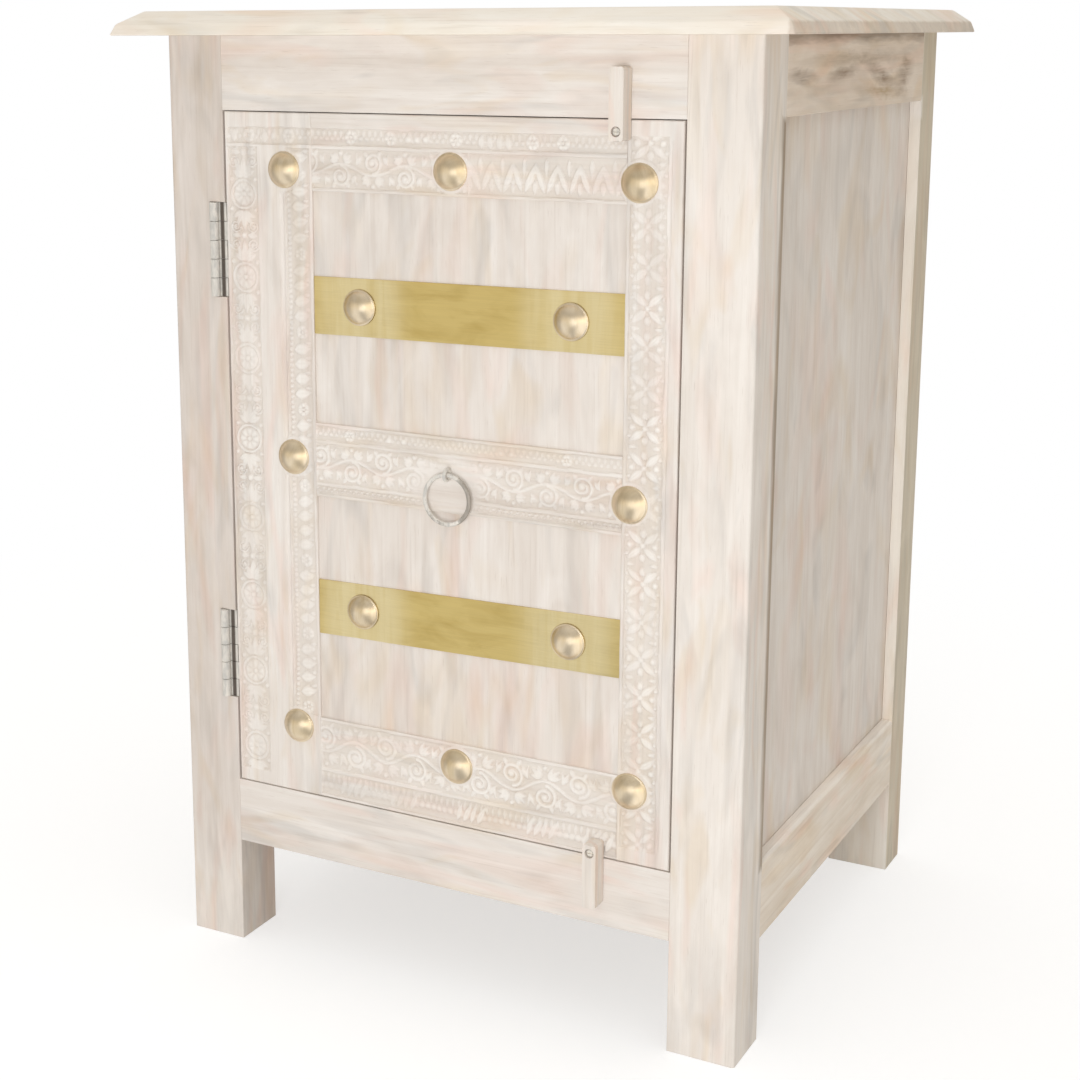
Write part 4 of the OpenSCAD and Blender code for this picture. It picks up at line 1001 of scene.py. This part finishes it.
class CABINET_OT_finishes(bpy.types.Operator):
    """Makes every finish: whitewashed wood by grain direction, brass, metals and plastic"""
    bl_idname = "cabinet.finishes"
    bl_label = "Make Finishes"

    def execute(self, context):
        wash, metal = settings().wash, settings().brass
        front_low, front_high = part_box("leg_front_right")
        back_low, back_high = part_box("leg_back_right")
        panel_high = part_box("side_panel_right")[1]
        rail_low, rail_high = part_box("rail_right_bottom")
        top_low, top_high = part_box("top_board")

        # Places with a tint of their own, each as its two corners, its softness and its colour: some hold another
        # wash, some painted shade and some a painted highlight.
        # First a line of painted shade on the edge of the front leg beside the side panel
        behind = Vector((front_high.x, front_high.y, rail_high.z))
        above = Vector((front_high.x, front_high.y, panel_high.z))
        arris = (near(behind, -9, -5.5, -4), near(above, 3, 3, -6), 0.0022, "#a99988")
        # A painted highlight at the top of the back leg's inner edge
        highlight_corner = Vector((panel_high.x, back_low.y, panel_high.z))
        highlight_far_corner = Vector((back_high.x, back_low.y, panel_high.z))
        painted_highlight_spot = (near(highlight_corner, -3, -3, -16), near(highlight_far_corner, 1, 3, -3), 0.003, "#f6efe7")
        # The back leg's outer face, and the foot of the left leg
        outer = Vector((back_high.x, back_low.y, 0))
        weathered = (near(outer, -0.9, 0.4, -1), near(back_high, 1, 1, 1), 0.0004, "#d3c8b5")
        foot = ((-1.0, -1.0, -0.05), (0.0, 0.0, 0.055), 0.045, "#e9e1d9")
        # Painted shade under the top board, a painted highlight along the side bottom rail's bevel, and painted
        # shade on the top board's end
        under = Vector((front_low.x, front_high.y, front_high.z))
        under_end = Vector((front_high.x, back_low.y, front_high.z))
        shade = (near(under, 0, -4, -4), near(under_end, 4, 4, 4), 0.0026, "#a59585")
        crest = Vector((rail_low.x, rail_low.y, rail_high.z))
        bevel = (near(crest, -1, 0, -1.6), near(rail_high, 1, 0, 2), 0.0006, "#f4ece3")
        end = Vector((top_high.x, top_low.y, top_low.z))
        far_end = Vector((top_high.x, top_high.y, top_low.z))
        painted_end_shade = (near(end, -4, -2, -2), near(far_end, 2, 2, 7), 0.0008, "#ded2c4")
        # Dark marks of the side top rail's figure: place along it, depth under the top board, length
        # and height in millimetres, then slope and colour
        figure = [
            (y * MM, front_high.z - down * MM, length * MM, height * MM, slope, tint)
            for y, down, length, height, slope, tint in (
                (-97, 24.2, 22, 3.4, -0.03, "#7c6149"), (-22, 23.6, 22, 3.0, 0.06, "#82684f"),
                (60, 27.0, 28, 5.0, -0.20, "#7a5f46"), (62, 37.2, 40, 3.4, -0.05, "#a8895a"),
                (112, 27.0, 16, 8.0, 0.20, "#8a7058"), (20, 15.0, 90, 3.6, 0.01, "#b09d88"))]

        # Limed solid wood looks chalky: pale in broad streaks, browner where it is rubbed thin.
        # After the grain's axis come both colours, how much is covered, a shift of the pattern and
        # how broad its streaks are
        thick, thin = wash.wash, wash.blush
        # The two front legs are lit and shaded copies of one wash: the right leg painted lighter and the left leg
        # darker, as painted light and shade across the front
        whitewashed_wood("whitewash right leg painted lighter", "Z", "#f0e9e2", "#dfd6cd", 0.74, 0.0,
                         tints_and_painted_light=(arris,))
        whitewashed_wood("whitewash left leg painted darker", "Z", "#e2d9d2", "#d1c6bc", 0.74, 1.0,
                         tints_and_painted_light=(foot,))
        # The back legs' wash carries a painted highlight at the top of one inner edge
        whitewashed_wood("whitewash back legs", "Z", "#f5efe6", "#e9e0d4", 0.70, 2.0,
                         tints_and_painted_light=(weathered, painted_highlight_spot))
        whitewashed_wood("whitewash across", "X", thick, thin, 0.74, 4.0)
        # This rail's wash carries the painted shade under the top board
        whitewashed_wood("worn wash and painted shade side top rail", "Y", "#f1e6da", "#e1d2c2", 0.62, 8.0,
                         figure=figure, tints_and_painted_light=(shade,))
        # This rail's wash carries a painted highlight along its bevel
        whitewashed_wood("whitewash side bottom rail", "Y", "#f3eadf", "#e0d2c1", 0.70, 10.0,
                         tints_and_painted_light=(bevel,))
        whitewashed_wood("whitewash side panel", "Z", thick, thin, 0.68, 12.0, 2.4)
        whitewashed_wood("whitewash door panel", "Z", thick, thin, 0.62, 16.0, 1.3)
        whitewashed_wood("whitewash carved upright", "Z", thick, thin, 0.78, 20.0, carved=True)
        whitewashed_wood("whitewash carved across", "X", thick, thin, 0.78, 24.0, carved=True)
        # The top's wash carries painted shade on its end
        whitewashed_wood("cream wash top", "X", wash.cream, "#eee4d5", 0.80, 28.0, 1.8,
                         tints_and_painted_light=(painted_end_shade,))
        whitewashed_wood("rubbed wash buttons", "Z", "#eee7e0", "#ded4ca", 0.66, 32.0, 0.5)
        # Inside and behind, one thin coat lets the brown of the wood through
        whitewashed_wood("thin wash inside", "X", "#e3d6c6", "#d8c3a8", 0.55, 36.0, 1.5)
        whitewashed_wood("thin wash back", "Z", "#e3d6c6", "#d8c3a8", 0.55, 40.0, 1.9)

        # Rolled brass gives soft streaked reflections, pressed and polished brass rounder ones
        # The strips also take a painted reflection round their studs
        brass("rolled strip brass", metal.sheet, "X", 0.32, 0.35, metal.rubbed)
        brass("polished stud brass", metal.dome, "Z", 0.30, 0.45)
        # Rolled steel and bent iron wire, dulled by the whitewash that was brushed over them
        low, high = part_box("hinge_upper_pin")
        barrel = (low.x + high.x) / 2 + BARREL_R
        smeared_metal("hinge steel", "#6a6058", "#e2dcd3", 1.5, 0.55,
                      painted_but_for(barrel + 0.0007, barrel + 0.0037), 0.4)
        # The ring's bare, darker right side and foot are painted shade
        low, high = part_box("pull_ring")
        smeared_metal("ring iron", "#b3aba1", "#e9e3da", 1.35, 0.5,
                      ring_wash_and_painted_shade((low + high) / 2, (high.x - low.x) / 2), 0.3)
        smeared_metal("eye iron", "#a09990", "#e6e0d7", 1.3, 0.5, None, 0.3)
        # Zinc-plated steel, grey and a little shiny, with and without smears of wash
        smeared_metal("limed screw steel", "#99958f", "#e9e1d4", 1.3, 0.4)
        smeared_metal("zinc screw steel", "#a09e99", "#cfc9c0", 0.1, 0.35)
        # Moulded brown plastic, half matt, and a sintered magnet with a dull grain
        moulded("catch plastic", "#3a322c", 0.45)
        moulded("magnet", "#3d3d40", 0.55)
        return {"FINISHED"}


class CABINET_OT_boards(bpy.types.Operator):
    """Gives the carcass its wood, with worn edges on the boards that are seen"""
    bl_idname = "cabinet.boards"
    bl_label = "Finish Boards"

    def execute(self, context):
        # The right front leg's wash is painted lighter and the left one's darker, as painted light and shade
        legs = {"left": "whitewash left leg painted darker", "right": "whitewash right leg painted lighter"}
        for side, finish in legs.items():
            worn_board(f"leg_front_{side}", finish)
            worn_board(f"leg_back_{side}", "whitewash back legs")
            worn_board(f"rail_{side}_top", "worn wash and painted shade side top rail")
            worn_board(f"rail_{side}_bottom", "whitewash side bottom rail")
            paint(f"side_panel_{side}", "whitewash side panel")
        for end in ("top", "bottom"):
            for side in ("front", "back"):
                worn_board(f"rail_{side}_{end}", "whitewash across")
        worn_board("top_board", "cream wash top", settings().wash.wear * 2.5)
        for node in ("floor_board", "shelf_board", "floor_cleats", "shelf_cleats", "top_cleats",
                     "door_stop_strip"):
            worn_board(node, "thin wash inside")
        paint("back_panel", "thin wash back")
        paint("door_panel_upper", "whitewash door panel")
        paint("door_panel_lower", "whitewash door panel")
        return {"FINISHED"}


class CABINET_OT_carving(bpy.types.Operator):
    """Carves the door's stiles and rails"""
    bl_idname = "cabinet.carving"
    bl_label = "Carve Door Frame"

    def execute(self, context):
        carving = settings().carving
        thin, row_h, fillet = carving.thin_fillet / MM, carving.row / MM, carving.fillet / MM
        studs = [((low + high) / 2 / MM) for low, high in islands("frame_studs")]
        lower_z1, upper_z0 = (corner.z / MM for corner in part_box("door_rail_middle"))
        lower_z0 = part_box("door_rail_bottom")[1].z / MM
        upper_z1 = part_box("door_rail_top")[0].z / MM

        def done(node, face, finish, edges):
            for stud in studs:
                face.seat(stud.x, stud.z, STUD_SEAT)
            face.wear(*edges)
            carved_member(node, face, finish)

        outer_x1 = DOOR_X0 + thin + carving.outer_band / MM
        inner_x0 = outer_x1 + carving.plain_band / MM
        face = Face(DOOR_X0, PANEL_X0, DOOR_Z0, DOOR_Z1, 11)
        row_z1 = DOOR_Z1 - fillet
        row_z0 = row_z1 - row_h
        face.band(DOOR_X0 + thin, outer_x1, DOOR_Z0 + fillet, row_z0 - thin,
                  rosette_and_leaves, True, offset=HINGE_FLOWER_Z)
        face.band(inner_x0, PANEL_X0 - thin, lower_z0, row_z0 - thin, petal_groups, True, 1.1,
                  offset=PETAL_GROUP_Z)
        middle = (DOOR_X0 + PANEL_X0) / 2
        places = [("scallop", DOOR_X0 + 6), ("rosette", DOOR_X0 + 17), ("scallop", DOOR_X0 + 29),
                  ("bead", DOOR_X0 + 36), ("rosette", DOOR_X0 + 47)]
        face.band(DOOR_X0 + thin, PANEL_X0, row_z0, row_z1,
                  lambda u, v, half: row_ornaments(u + middle, v, half, places, 0.5), False)
        face.groove(inner_x0 - 2.2, 3.4, 1.2, lower_z0, upper_z1)
        done("door_stile_hinge", face, "whitewash carved upright", (0.8, 0.5, 0.8, 0.8))

        face = Face(PANEL_X1, DOOR_X1, DOOR_Z0, DOOR_Z1, 23)
        face.band(PANEL_X1 + thin, DOOR_X1 - fillet, DOOR_Z0 + fillet, DOOR_Z1 - fillet,
                  diamond_leaves, True)
        face.groove(DOOR_X1 - fillet + 1.2, 2.4, 1.0, DOOR_Z0 + fillet, DOOR_Z1 - fillet)
        done("door_stile_closing", face, "whitewash carved upright", (0.5, 0.8, 0.8, 0.8))

        middle = (PANEL_X0 + PANEL_X1) / 2

        def row(places, filler=0.0):
            return lambda u, v, half: row_ornaments(u + middle, v, half, places, filler)

        face = Face(PANEL_X0, PANEL_X1, upper_z1, DOOR_Z1, 37)
        places = [("rosette", -64.3), ("bead", -23.2), ("bead", -17.3), ("bead", -11.4),
                  ("scallop", 26), ("scallop", 32), ("scallop", 38), ("scallop", 44),
                  ("rosette", 79.8), ("rosette", -36), ("rosette", 9), ("rosette", 60)]
        face.band(PANEL_X0, PANEL_X1, row_z0, row_z1, row(places, 0.55), False)
        over = [stud for stud in studs if PANEL_X0 < stud.x < PANEL_X1]
        change = max(over, key=lambda stud: stud.z).x + 12
        face.band(PANEL_X0, change, upper_z1 + thin, row_z0 - thin, scrolls, False, 0.75)
        face.band(change, PANEL_X1, upper_z1 + thin, row_z0 - thin, zigzag_leaves, False, 0.95)
        done("door_rail_top", face, "whitewash carved across", (0.25, 0.25, 0.5, 0.8))

        face = Face(PANEL_X0, PANEL_X1, lower_z1, upper_z0, 41)
        low, high = lower_z1 + thin, upper_z0 - thin
        places = [("rosette", -68), ("bead", -39), ("bead", -28.4), ("bead", 40), ("bead", 46.9),
                  ("rosette", 84)]
        face.band(PANEL_X0, PANEL_X1, high - 9.5, high, row(places, 0.5), False)
        face.band(PANEL_X0, PANEL_X1, low + 7.5, high - 9.5 - thin, scrolls, False, 0.9)
        face.band(PANEL_X0, PANEL_X1, low, low + 7.5 - thin, row((), 0.8), False)
        eye = frame["joints"][1]["pos_m"]
        face.calm(eye[0] / MM, eye[2] / MM - 10, 22, 17, 0.18)
        done("door_rail_middle", face, "whitewash carved across", (0.25, 0.25, 0.5, 0.5))

        face = Face(PANEL_X0, PANEL_X1, DOOR_Z0, lower_z0, 53)
        leaf_z0 = DOOR_Z0 + thin
        leaf_z1 = leaf_z0 + fillet + row_h - 2 * thin
        groups = [("leaves", x + side) for x in (-68, -30, 19, 69, 108) for side in (-5, 5)]
        face.band(PANEL_X0, PANEL_X1, leaf_z0, leaf_z1, row(groups, 0.6), False, 1.1)
        face.band(PANEL_X0, PANEL_X1, leaf_z1 + thin, lower_z0 - thin, scrolls, False)
        done("door_rail_bottom", face, "whitewash carved across", (0.25, 0.25, 0.8, 0.5))
        return {"FINISHED"}


def strip_mesh(node, studs):
    """A brass strip as a closed sheet whose face is dished round its studs."""
    low, high = (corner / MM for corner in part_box(node))
    bm = merged_copy(node)
    ends = []
    for edge_x in (low.x, high.x):
        heights = [v.co.z / MM for v in bm.verts if abs(v.co.x / MM - edge_x) < 0.01]
        ends.append((min(heights), max(heights)))
    bm.free()
    # Points a millimetre apart along the strip, and 41 of them across it
    s = np.linspace(0, 1, round(high.x - low.x) + 1)[:, None]
    t = np.linspace(0, 1, 41)[None, :]
    z0 = ends[0][0] + (ends[1][0] - ends[0][0]) * s
    z1 = ends[0][1] + (ends[1][1] - ends[0][1]) * s
    x = low.x + (high.x - low.x) * s + 0 * t
    z = z0 + (z1 - z0) * t
    dish = settings().brass.dish / MM
    depth = 0.08 * soft_noise(x, z, 24.0, 5) + 0.03 * soft_noise(x, z, 6.0, 6)
    # Where the strip is painted paler round its studs, a painted reflection of its dishing
    rubbed = np.zeros_like(x)
    for stud in studs:
        reach = np.hypot(x - stud.x, (z - stud.z) * 0.8)
        depth = np.maximum(depth, dish * ramp(reach, 26.0, 13.0))
        reach = np.hypot(x - stud.x, (z - stud.z) * 0.4)
        rubbed = np.maximum(rubbed, ramp(reach, 42.0, 16.0))
    inside = np.minimum(t * (z1 - z0), (1 - t) * (z1 - z0))
    depth = depth + 0.12 * ramp(inside, 0.8, 0.0) + (low.y - FACE_Y)
    mesh = cap_mesh(x, z, depth, rubbed, high.y - FACE_Y)
    smooth_mesh(mesh, 50)
    return mesh


class CABINET_OT_brasswork(bpy.types.Operator):
    """Makes the brass strips and the domed studs"""
    bl_idname = "cabinet.brasswork"
    bl_label = "Make Brasswork"

    def execute(self, context):
        small = [(low + high) / 2 / MM for low, high in islands("strip_studs")]
        for place in ("upper", "lower"):
            node = f"brass_strip_{place}"
            low, high = (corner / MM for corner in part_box(node))
            mesh = strip_mesh(node, [p for p in small if low.z < p.z < high.z])
            finish_piece(f"dished_strip_{place}", mesh, "door",
                         "rolled strip brass", [node])
        tree, identifiers = stud_group()
        for node in ("frame_studs", "strip_studs"):
            boxes = islands(node)
            seat = min(low.y for low, high in boxes) + STUD_HEIGHT
            radius = (boxes[0][1].x - boxes[0][0].x) / 2
            points = [((a.x + b.x) / 2, seat, (a.z + b.z) / 2) for a, b in boxes]
            values = {"Radius": radius, "Height": STUD_HEIGHT * INSIDE, "Rim": 0.0007,
                      "Hammer": 0.00012}
            turns = [(math.pi / 2, 0, 0)] * len(points)
            grow(f"domed_{node}", tree, identifiers, values, points, turns, "door",
                 "polished stud brass", [node], 55)
        return {"FINISHED"}


class CABINET_OT_ring_pull(bpy.types.Operator):
    """Makes the ring of the pull as hand-bent wire and finishes its eye"""
    bl_idname = "cabinet.ring_pull"
    bl_label = "Make Ring Pull"

    def execute(self, context):
        low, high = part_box("pull_ring")
        centre = (low + high) / 2
        wire = (high.y - low.y) / 2
        radius = (high.x - low.x) / 2 - wire
        bm = bmesh.new()
        around, section = 96, 16
        # The wire runs up to 0.24 mm inside a true ring, and its thickness is a little uneven
        bend, thickness, uneven = 0.00012, 0.93, 0.05
        phases = np.random.default_rng(7).random(4) * 2 * math.pi
        rings = []
        for i in range(around):
            a = 2 * math.pi * i / around
            bent = radius - bend * (1 + math.sin(2 * a + phases[0]))
            waver = math.sin(5 * a + phases[1]) * math.sin(3 * a + phases[2])
            thick = wire * (thickness + uneven * waver)
            ring = []
            for j in range(section):
                b = 2 * math.pi * j / section
                r = bent + thick * math.cos(b)
                ring.append(bm.verts.new(centre + Vector((
                    r * math.sin(a), thick * math.sin(b), r * math.cos(a)))))
            rings.append(ring)
        for i in range(around):
            for j in range(section):
                k, m = (i + 1) % around, (j + 1) % section
                bm.faces.new((rings[i][j], rings[k][j], rings[k][m], rings[i][m]))
        bmesh.ops.recalc_face_normals(bm, faces=bm.faces)
        mesh = mesh_from(bm, "ring")
        smooth_mesh(mesh, 80)
        finish_piece("bent_ring", mesh, "ring", "ring iron", ["pull_ring"])
        paint("pull_eye", "eye iron")
        return {"FINISHED"}


class CABINET_OT_hinges(bpy.types.Operator):
    """Finishes the hinges' leaves and pins"""
    bl_idname = "cabinet.hinges"
    bl_label = "Finish Hinges"

    def execute(self, context):
        for place in ("lower", "upper"):
            for piece in ("frame_leaf", "door_leaf", "pin"):
                paint(f"hinge_{place}_{piece}", "hinge steel")
        return {"FINISHED"}


def screw_sizes(head, length, rise):
    """The sizes of a screw with a head of this radius and height, and this length in all."""
    return {"Head": head * INSIDE, "Shank": head * 0.5, "Length": length - rise, "Rise": rise}


class CABINET_OT_screws(bpy.types.Operator):
    """Makes every screw with a slot in its head"""
    bl_idname = "cabinet.screws"
    bl_label = "Make Screws"

    def execute(self, context):
        quarter = math.pi / 2
        # Each group of screws with the direction that its heads face, and how +Z is turned to it
        rows = (
            ("hinge_frame_screws", "cabinet", (1, 0, 0), (0, quarter)),
            ("hinge_door_screws", "door", (-1, 0, 0), (0, -quarter)),
            ("top_screws", "cabinet", (0, 0, -1), (math.pi, 0)),
            ("catch_screws", "cabinet", (-1, 0, 0), (0, -quarter)),
            ("strike_screws", "door", (0, 1, 0), (-quarter, 0)),
        )
        tree, identifiers = screw_group("countersunk screw", "zinc screw steel", True)
        for node, body, facing, (about_x, about_y) in rows:
            facing = Vector(facing)
            axis = max(range(3), key=lambda i: abs(facing[i]))
            boxes = islands(node)
            span = boxes[0][1] - boxes[0][0]
            head = max(span[i] for i in range(3) if i != axis) / 2
            points = [
                (low + high) / 2 + facing * ((high[axis] - low[axis]) / 2) for low, high in boxes]
            values = screw_sizes(head, span[axis], head * 0.5)
            base = Matrix.Rotation(about_y, 3, "Y") @ Matrix.Rotation(about_x, 3, "X")
            turns = [
                tuple((base @ Matrix.Rotation(angle * math.pi, 3, "Z")).to_euler())
                for angle in np.random.default_rng(len(node)).random(len(points))]
            grow(f"slotted_{node}", tree, identifiers, values, points, turns, body,
                 "zinc screw steel", [node])
        paint("strike_plate", "zinc screw steel")
        return {"FINISHED"}


class CABINET_OT_turn_buttons(bpy.types.Operator):
    """Finishes the two turn buttons"""
    bl_idname = "cabinet.turn_buttons"
    bl_label = "Finish Turn Buttons"

    def execute(self, context):
        for end in ("top", "bottom"):
            worn_board(f"turn_button_{end}", "rubbed wash buttons",
                       settings().wash.wear * 2)
        tree, identifiers = screw_group("round headed screw", "limed screw steel", False)
        boxes = islands("turn_button_screws")
        low, high = boxes[0]
        head = (high.x - low.x) / 2
        rise = head * 0.55
        points = [((a.x + b.x) / 2, a.y + rise, (a.z + b.z) / 2) for a, b in boxes]
        values = screw_sizes(head, high.y - low.y, rise)
        turns = [(math.pi / 2, 0.0, 0.0)] * len(points)
        grow("slotted_turn_button_screws", tree, identifiers, values, points, turns, "door",
             "limed screw steel", ["turn_button_screws"])
        return {"FINISHED"}


class CABINET_OT_catch(bpy.types.Operator):
    """Finishes the magnetic catch"""
    bl_idname = "cabinet.catch"
    bl_label = "Finish Catch"

    def execute(self, context):
        worn_board("catch_case", "catch plastic")
        paint("catch_magnet", "magnet")
        return {"FINISHED"}


# Stage

# How bright metals see the room all round, and what the card and the window add to it
ROOM_GLOSS = 0.52
CARD_GLOSS = 0.48
WINDOW_GLOSS = 1.3
FLOOR_WINDOW_GLOSS = 0.80


def towards(tree, vector, bearing, low, high):
    """How far a direction, or a place on the floor, lies towards a bearing."""
    flat = add(tree, "ShaderNodeVectorMath", vector, (1.0, 1.0, 0.0), operation="MULTIPLY")
    unit = add(tree, "ShaderNodeVectorMath", flat, operation="NORMALIZE")
    along = add(tree, "ShaderNodeVectorMath", unit, bearing, operation="DOT_PRODUCT")
    return add(tree, "ShaderNodeMapRange", along, low, high)


def bright_sides(tree, vector):
    """How far a vector lies towards the bright card, left in front, and the window, right."""
    return (towards(tree, vector, (-0.50, -0.866, 0.0), 0.86, 0.95),
            towards(tree, vector, (1.0, 0.0, 0.0), 0.40, 0.64))


def lay_floor():
    """A pale floor, which the camera sees as white where nothing shades it."""
    tree, shader = new_material("pale floor")
    tree.nodes.remove(shader)
    place = add(tree, "ShaderNodeTexCoord").node.outputs["Object"]
    ray = add(tree, "ShaderNodeLightPath").node.outputs
    # What the camera sees: a lit and shaded floor near the cabinet, plain white from 1.1 m out
    reach = add(tree, "ShaderNodeVectorMath", place, operation="LENGTH")
    near_by = add(tree, "ShaderNodeMapRange", reach, 1.1, 0.4)
    shaded = add(tree, "ShaderNodeBsdfDiffuse", Color=(0.5, 0.5, 0.5, 1))
    glow = add(tree, "ShaderNodeEmission", Color=(1, 1, 1, 1), Strength=0.58)
    lit = add(tree, "ShaderNodeAddShader", shaded, glow)
    white = add(tree, "ShaderNodeEmission", Color=(1, 1, 1, 1), Strength=1.0)
    seen = add(tree, "ShaderNodeMixShader", near_by, white, lit)
    # What metals mirror, and what lights the cabinet from below
    card, window = bright_sides(tree, place)
    strength = weighted(tree, ROOM_GLOSS, (card, CARD_GLOSS), (window, FLOOR_WINDOW_GLOSS))
    mirrored = add(tree, "ShaderNodeEmission", Color=(1, 1, 1, 1), Strength=strength)
    plain = add(tree, "ShaderNodeBsdfDiffuse", Color=(0.8, 0.8, 0.8, 1))
    mixed = add(tree, "ShaderNodeMixShader", ray["Is Glossy Ray"], plain, mirrored)
    mixed = add(tree, "ShaderNodeMixShader", ray["Is Camera Ray"], mixed, seen)
    tree.links.new(mixed, tree.nodes["Material Output"].inputs["Surface"])
    bpy.ops.mesh.primitive_circle_add(vertices=96, radius=6.0, fill_type="NGON")
    floor = bpy.context.object
    floor.name = "floor"
    floor.data.materials.append(material("pale floor"))


def light_world(scene, stage):
    """White behind everything, soft light from all round, and brighter sides for the metals."""
    world = bpy.data.worlds.new("studio")
    scene.world = world
    world.use_nodes = True
    tree = world.node_tree
    direction = add(tree, "ShaderNodeTexCoord").node.outputs["Generated"]
    z = add(tree, "ShaderNodeSeparateXYZ", direction).node.outputs["Z"]
    ray = add(tree, "ShaderNodeLightPath").node.outputs
    # Each bright side ends at its own height above the floor
    card, window = bright_sides(tree, direction)
    card = add(tree, "ShaderNodeMath", card, add(tree, "ShaderNodeMapRange", z, 0.45, 0.15),
               operation="MULTIPLY")
    window = add(tree, "ShaderNodeMath", window, add(tree, "ShaderNodeMapRange", z, 0.48, 0.24),
                 operation="MULTIPLY")
    zenith = add(tree, "ShaderNodeMapRange", z, 0.6, 0.95, 0.0, 0.3)
    gloss = weighted(tree, ROOM_GLOSS, (window, WINDOW_GLOSS), (card, CARD_GLOSS),
                     (zenith, 1.0))
    round_light = add(tree, "ShaderNodeMapRange", z, 0.0, 1.0, stage.fill,
                      stage.fill + stage.overhead)
    is_glossy = ray["Is Glossy Ray"]
    soft = weighted(tree, 1.0, (is_glossy, -1.0))
    strength = weighted(tree, 0.0, (is_glossy, gloss), (soft, round_light))
    for kind in ("Is Camera Ray", "Is Transmission Ray"):
        strength = add(tree, "ShaderNodeMath", strength, ray[kind], operation="MAXIMUM")
    tint = add(tree, "ShaderNodeMix", add(tree, "ShaderNodeMapRange", z, 0.1, 0.8),
               (1.0, 0.93, 0.80, 1.0), (1.0, 0.99, 0.97, 1.0), data_type="RGBA")
    tint = add(tree, "ShaderNodeMix", ray["Is Camera Ray"], tint, (1.0, 1.0, 1.0, 1.0),
               data_type="RGBA")
    background = tree.nodes["Background"]
    tree.links.new(tint, background.inputs["Color"])
    tree.links.new(strength, background.inputs["Strength"])


def hang_key(scene, power):
    """One softbox as two lamps in one place: metals mirror one alone, and so without glare."""
    for name, share, mirrored in (
            ("key softbox", 0.45, False), ("key softbox mirrored", 0.55, True)):
        data = bpy.data.lights.new(name, "AREA")
        data.shape = "SQUARE"
        data.size = 0.45
        data.energy = power * share
        data.color = (0.93, 0.96, 1.0)
        key = bpy.data.objects.new(name, data)
        key.location = (0.42, -1.60, 0.43)
        aim = Vector((0.0, -0.1, 0.30)) - key.location
        key.rotation_euler = aim.to_track_quat("-Z", "Y").to_euler()
        key.visible_glossy = mirrored
        scene.collection.objects.link(key)


def set_camera(scene, stage):
    """The camera at the photograph's place, shifted to frame the cabinet as it does."""
    data = bpy.data.cameras.new("camera")
    data.sensor_width = 36.0
    data.lens = stage.lens
    data.shift_x = 0.0929
    data.shift_y = -0.1006
    camera = bpy.data.objects.new("camera", data)
    camera.location = stage.camera
    aim = Matrix.Rotation(stage.turn, 3, "Z") @ Matrix.Rotation(math.pi / 2 - stage.dip, 3, "X")
    camera.rotation_euler = (aim @ Matrix.Rotation(stage.tilt, 3, "Z")).to_euler()
    scene.collection.objects.link(camera)
    scene.camera = camera


class CABINET_OT_stage(bpy.types.Operator):
    """Sets the floor, the lamps, the background and the camera"""
    bl_idname = "cabinet.stage"
    bl_label = "Set Stage"

    def execute(self, context):
        stage = settings().stage
        context.scene.view_settings.view_transform = "Standard"
        lay_floor()
        light_world(context.scene, stage)
        hang_key(context.scene, stage.key)
        set_camera(context.scene, stage)
        return {"FINISHED"}


class CABINET_PT_pieces(bpy.types.Panel):
    """Lists the pieces in the order in which they are made"""
    bl_idname = "CABINET_PT_pieces"
    bl_label = "Bedside Cabinet"
    bl_space_type = "VIEW_3D"
    bl_region_type = "UI"
    bl_category = "Cabinet"

    def draw(self, context):
        chosen = context.scene.bedside_cabinet
        for group in (chosen.wash, chosen.carving, chosen.brass, chosen.stage):
            box = self.layout.box()
            for name in group.bl_rna.properties.keys():
                if name not in ("rna_type", "name"):
                    box.prop(group, name)
        for operator in PIECES:
            self.layout.operator(operator.bl_idname)


PIECES = (
    CABINET_OT_finishes, CABINET_OT_boards, CABINET_OT_carving, CABINET_OT_brasswork,
    CABINET_OT_ring_pull, CABINET_OT_hinges, CABINET_OT_screws, CABINET_OT_turn_buttons,
    CABINET_OT_catch, CABINET_OT_stage,
)
CLASSES = (
    WashSettings, CarvingSettings, BrassSettings, StageSettings, CabinetSettings,
) + PIECES + (CABINET_PT_pieces,)


def register():
    for cls in CLASSES:
        bpy.utils.register_class(cls)
    bpy.types.Scene.bedside_cabinet = bpy.props.PointerProperty(type=CabinetSettings)


def unregister():
    del bpy.types.Scene.bedside_cabinet
    for cls in reversed(CLASSES):
        bpy.utils.unregister_class(cls)


def main():
    register()
    bpy.ops.cabinet.finishes()
    bpy.ops.cabinet.boards()
    bpy.ops.cabinet.carving()
    bpy.ops.cabinet.brasswork()
    bpy.ops.cabinet.ring_pull()
    bpy.ops.cabinet.hinges()
    bpy.ops.cabinet.screws()
    bpy.ops.cabinet.turn_buttons()
    bpy.ops.cabinet.catch()
    bpy.ops.cabinet.stage()
    bpy.context.view_layer.update()


if __name__ == "__main__":
    main()
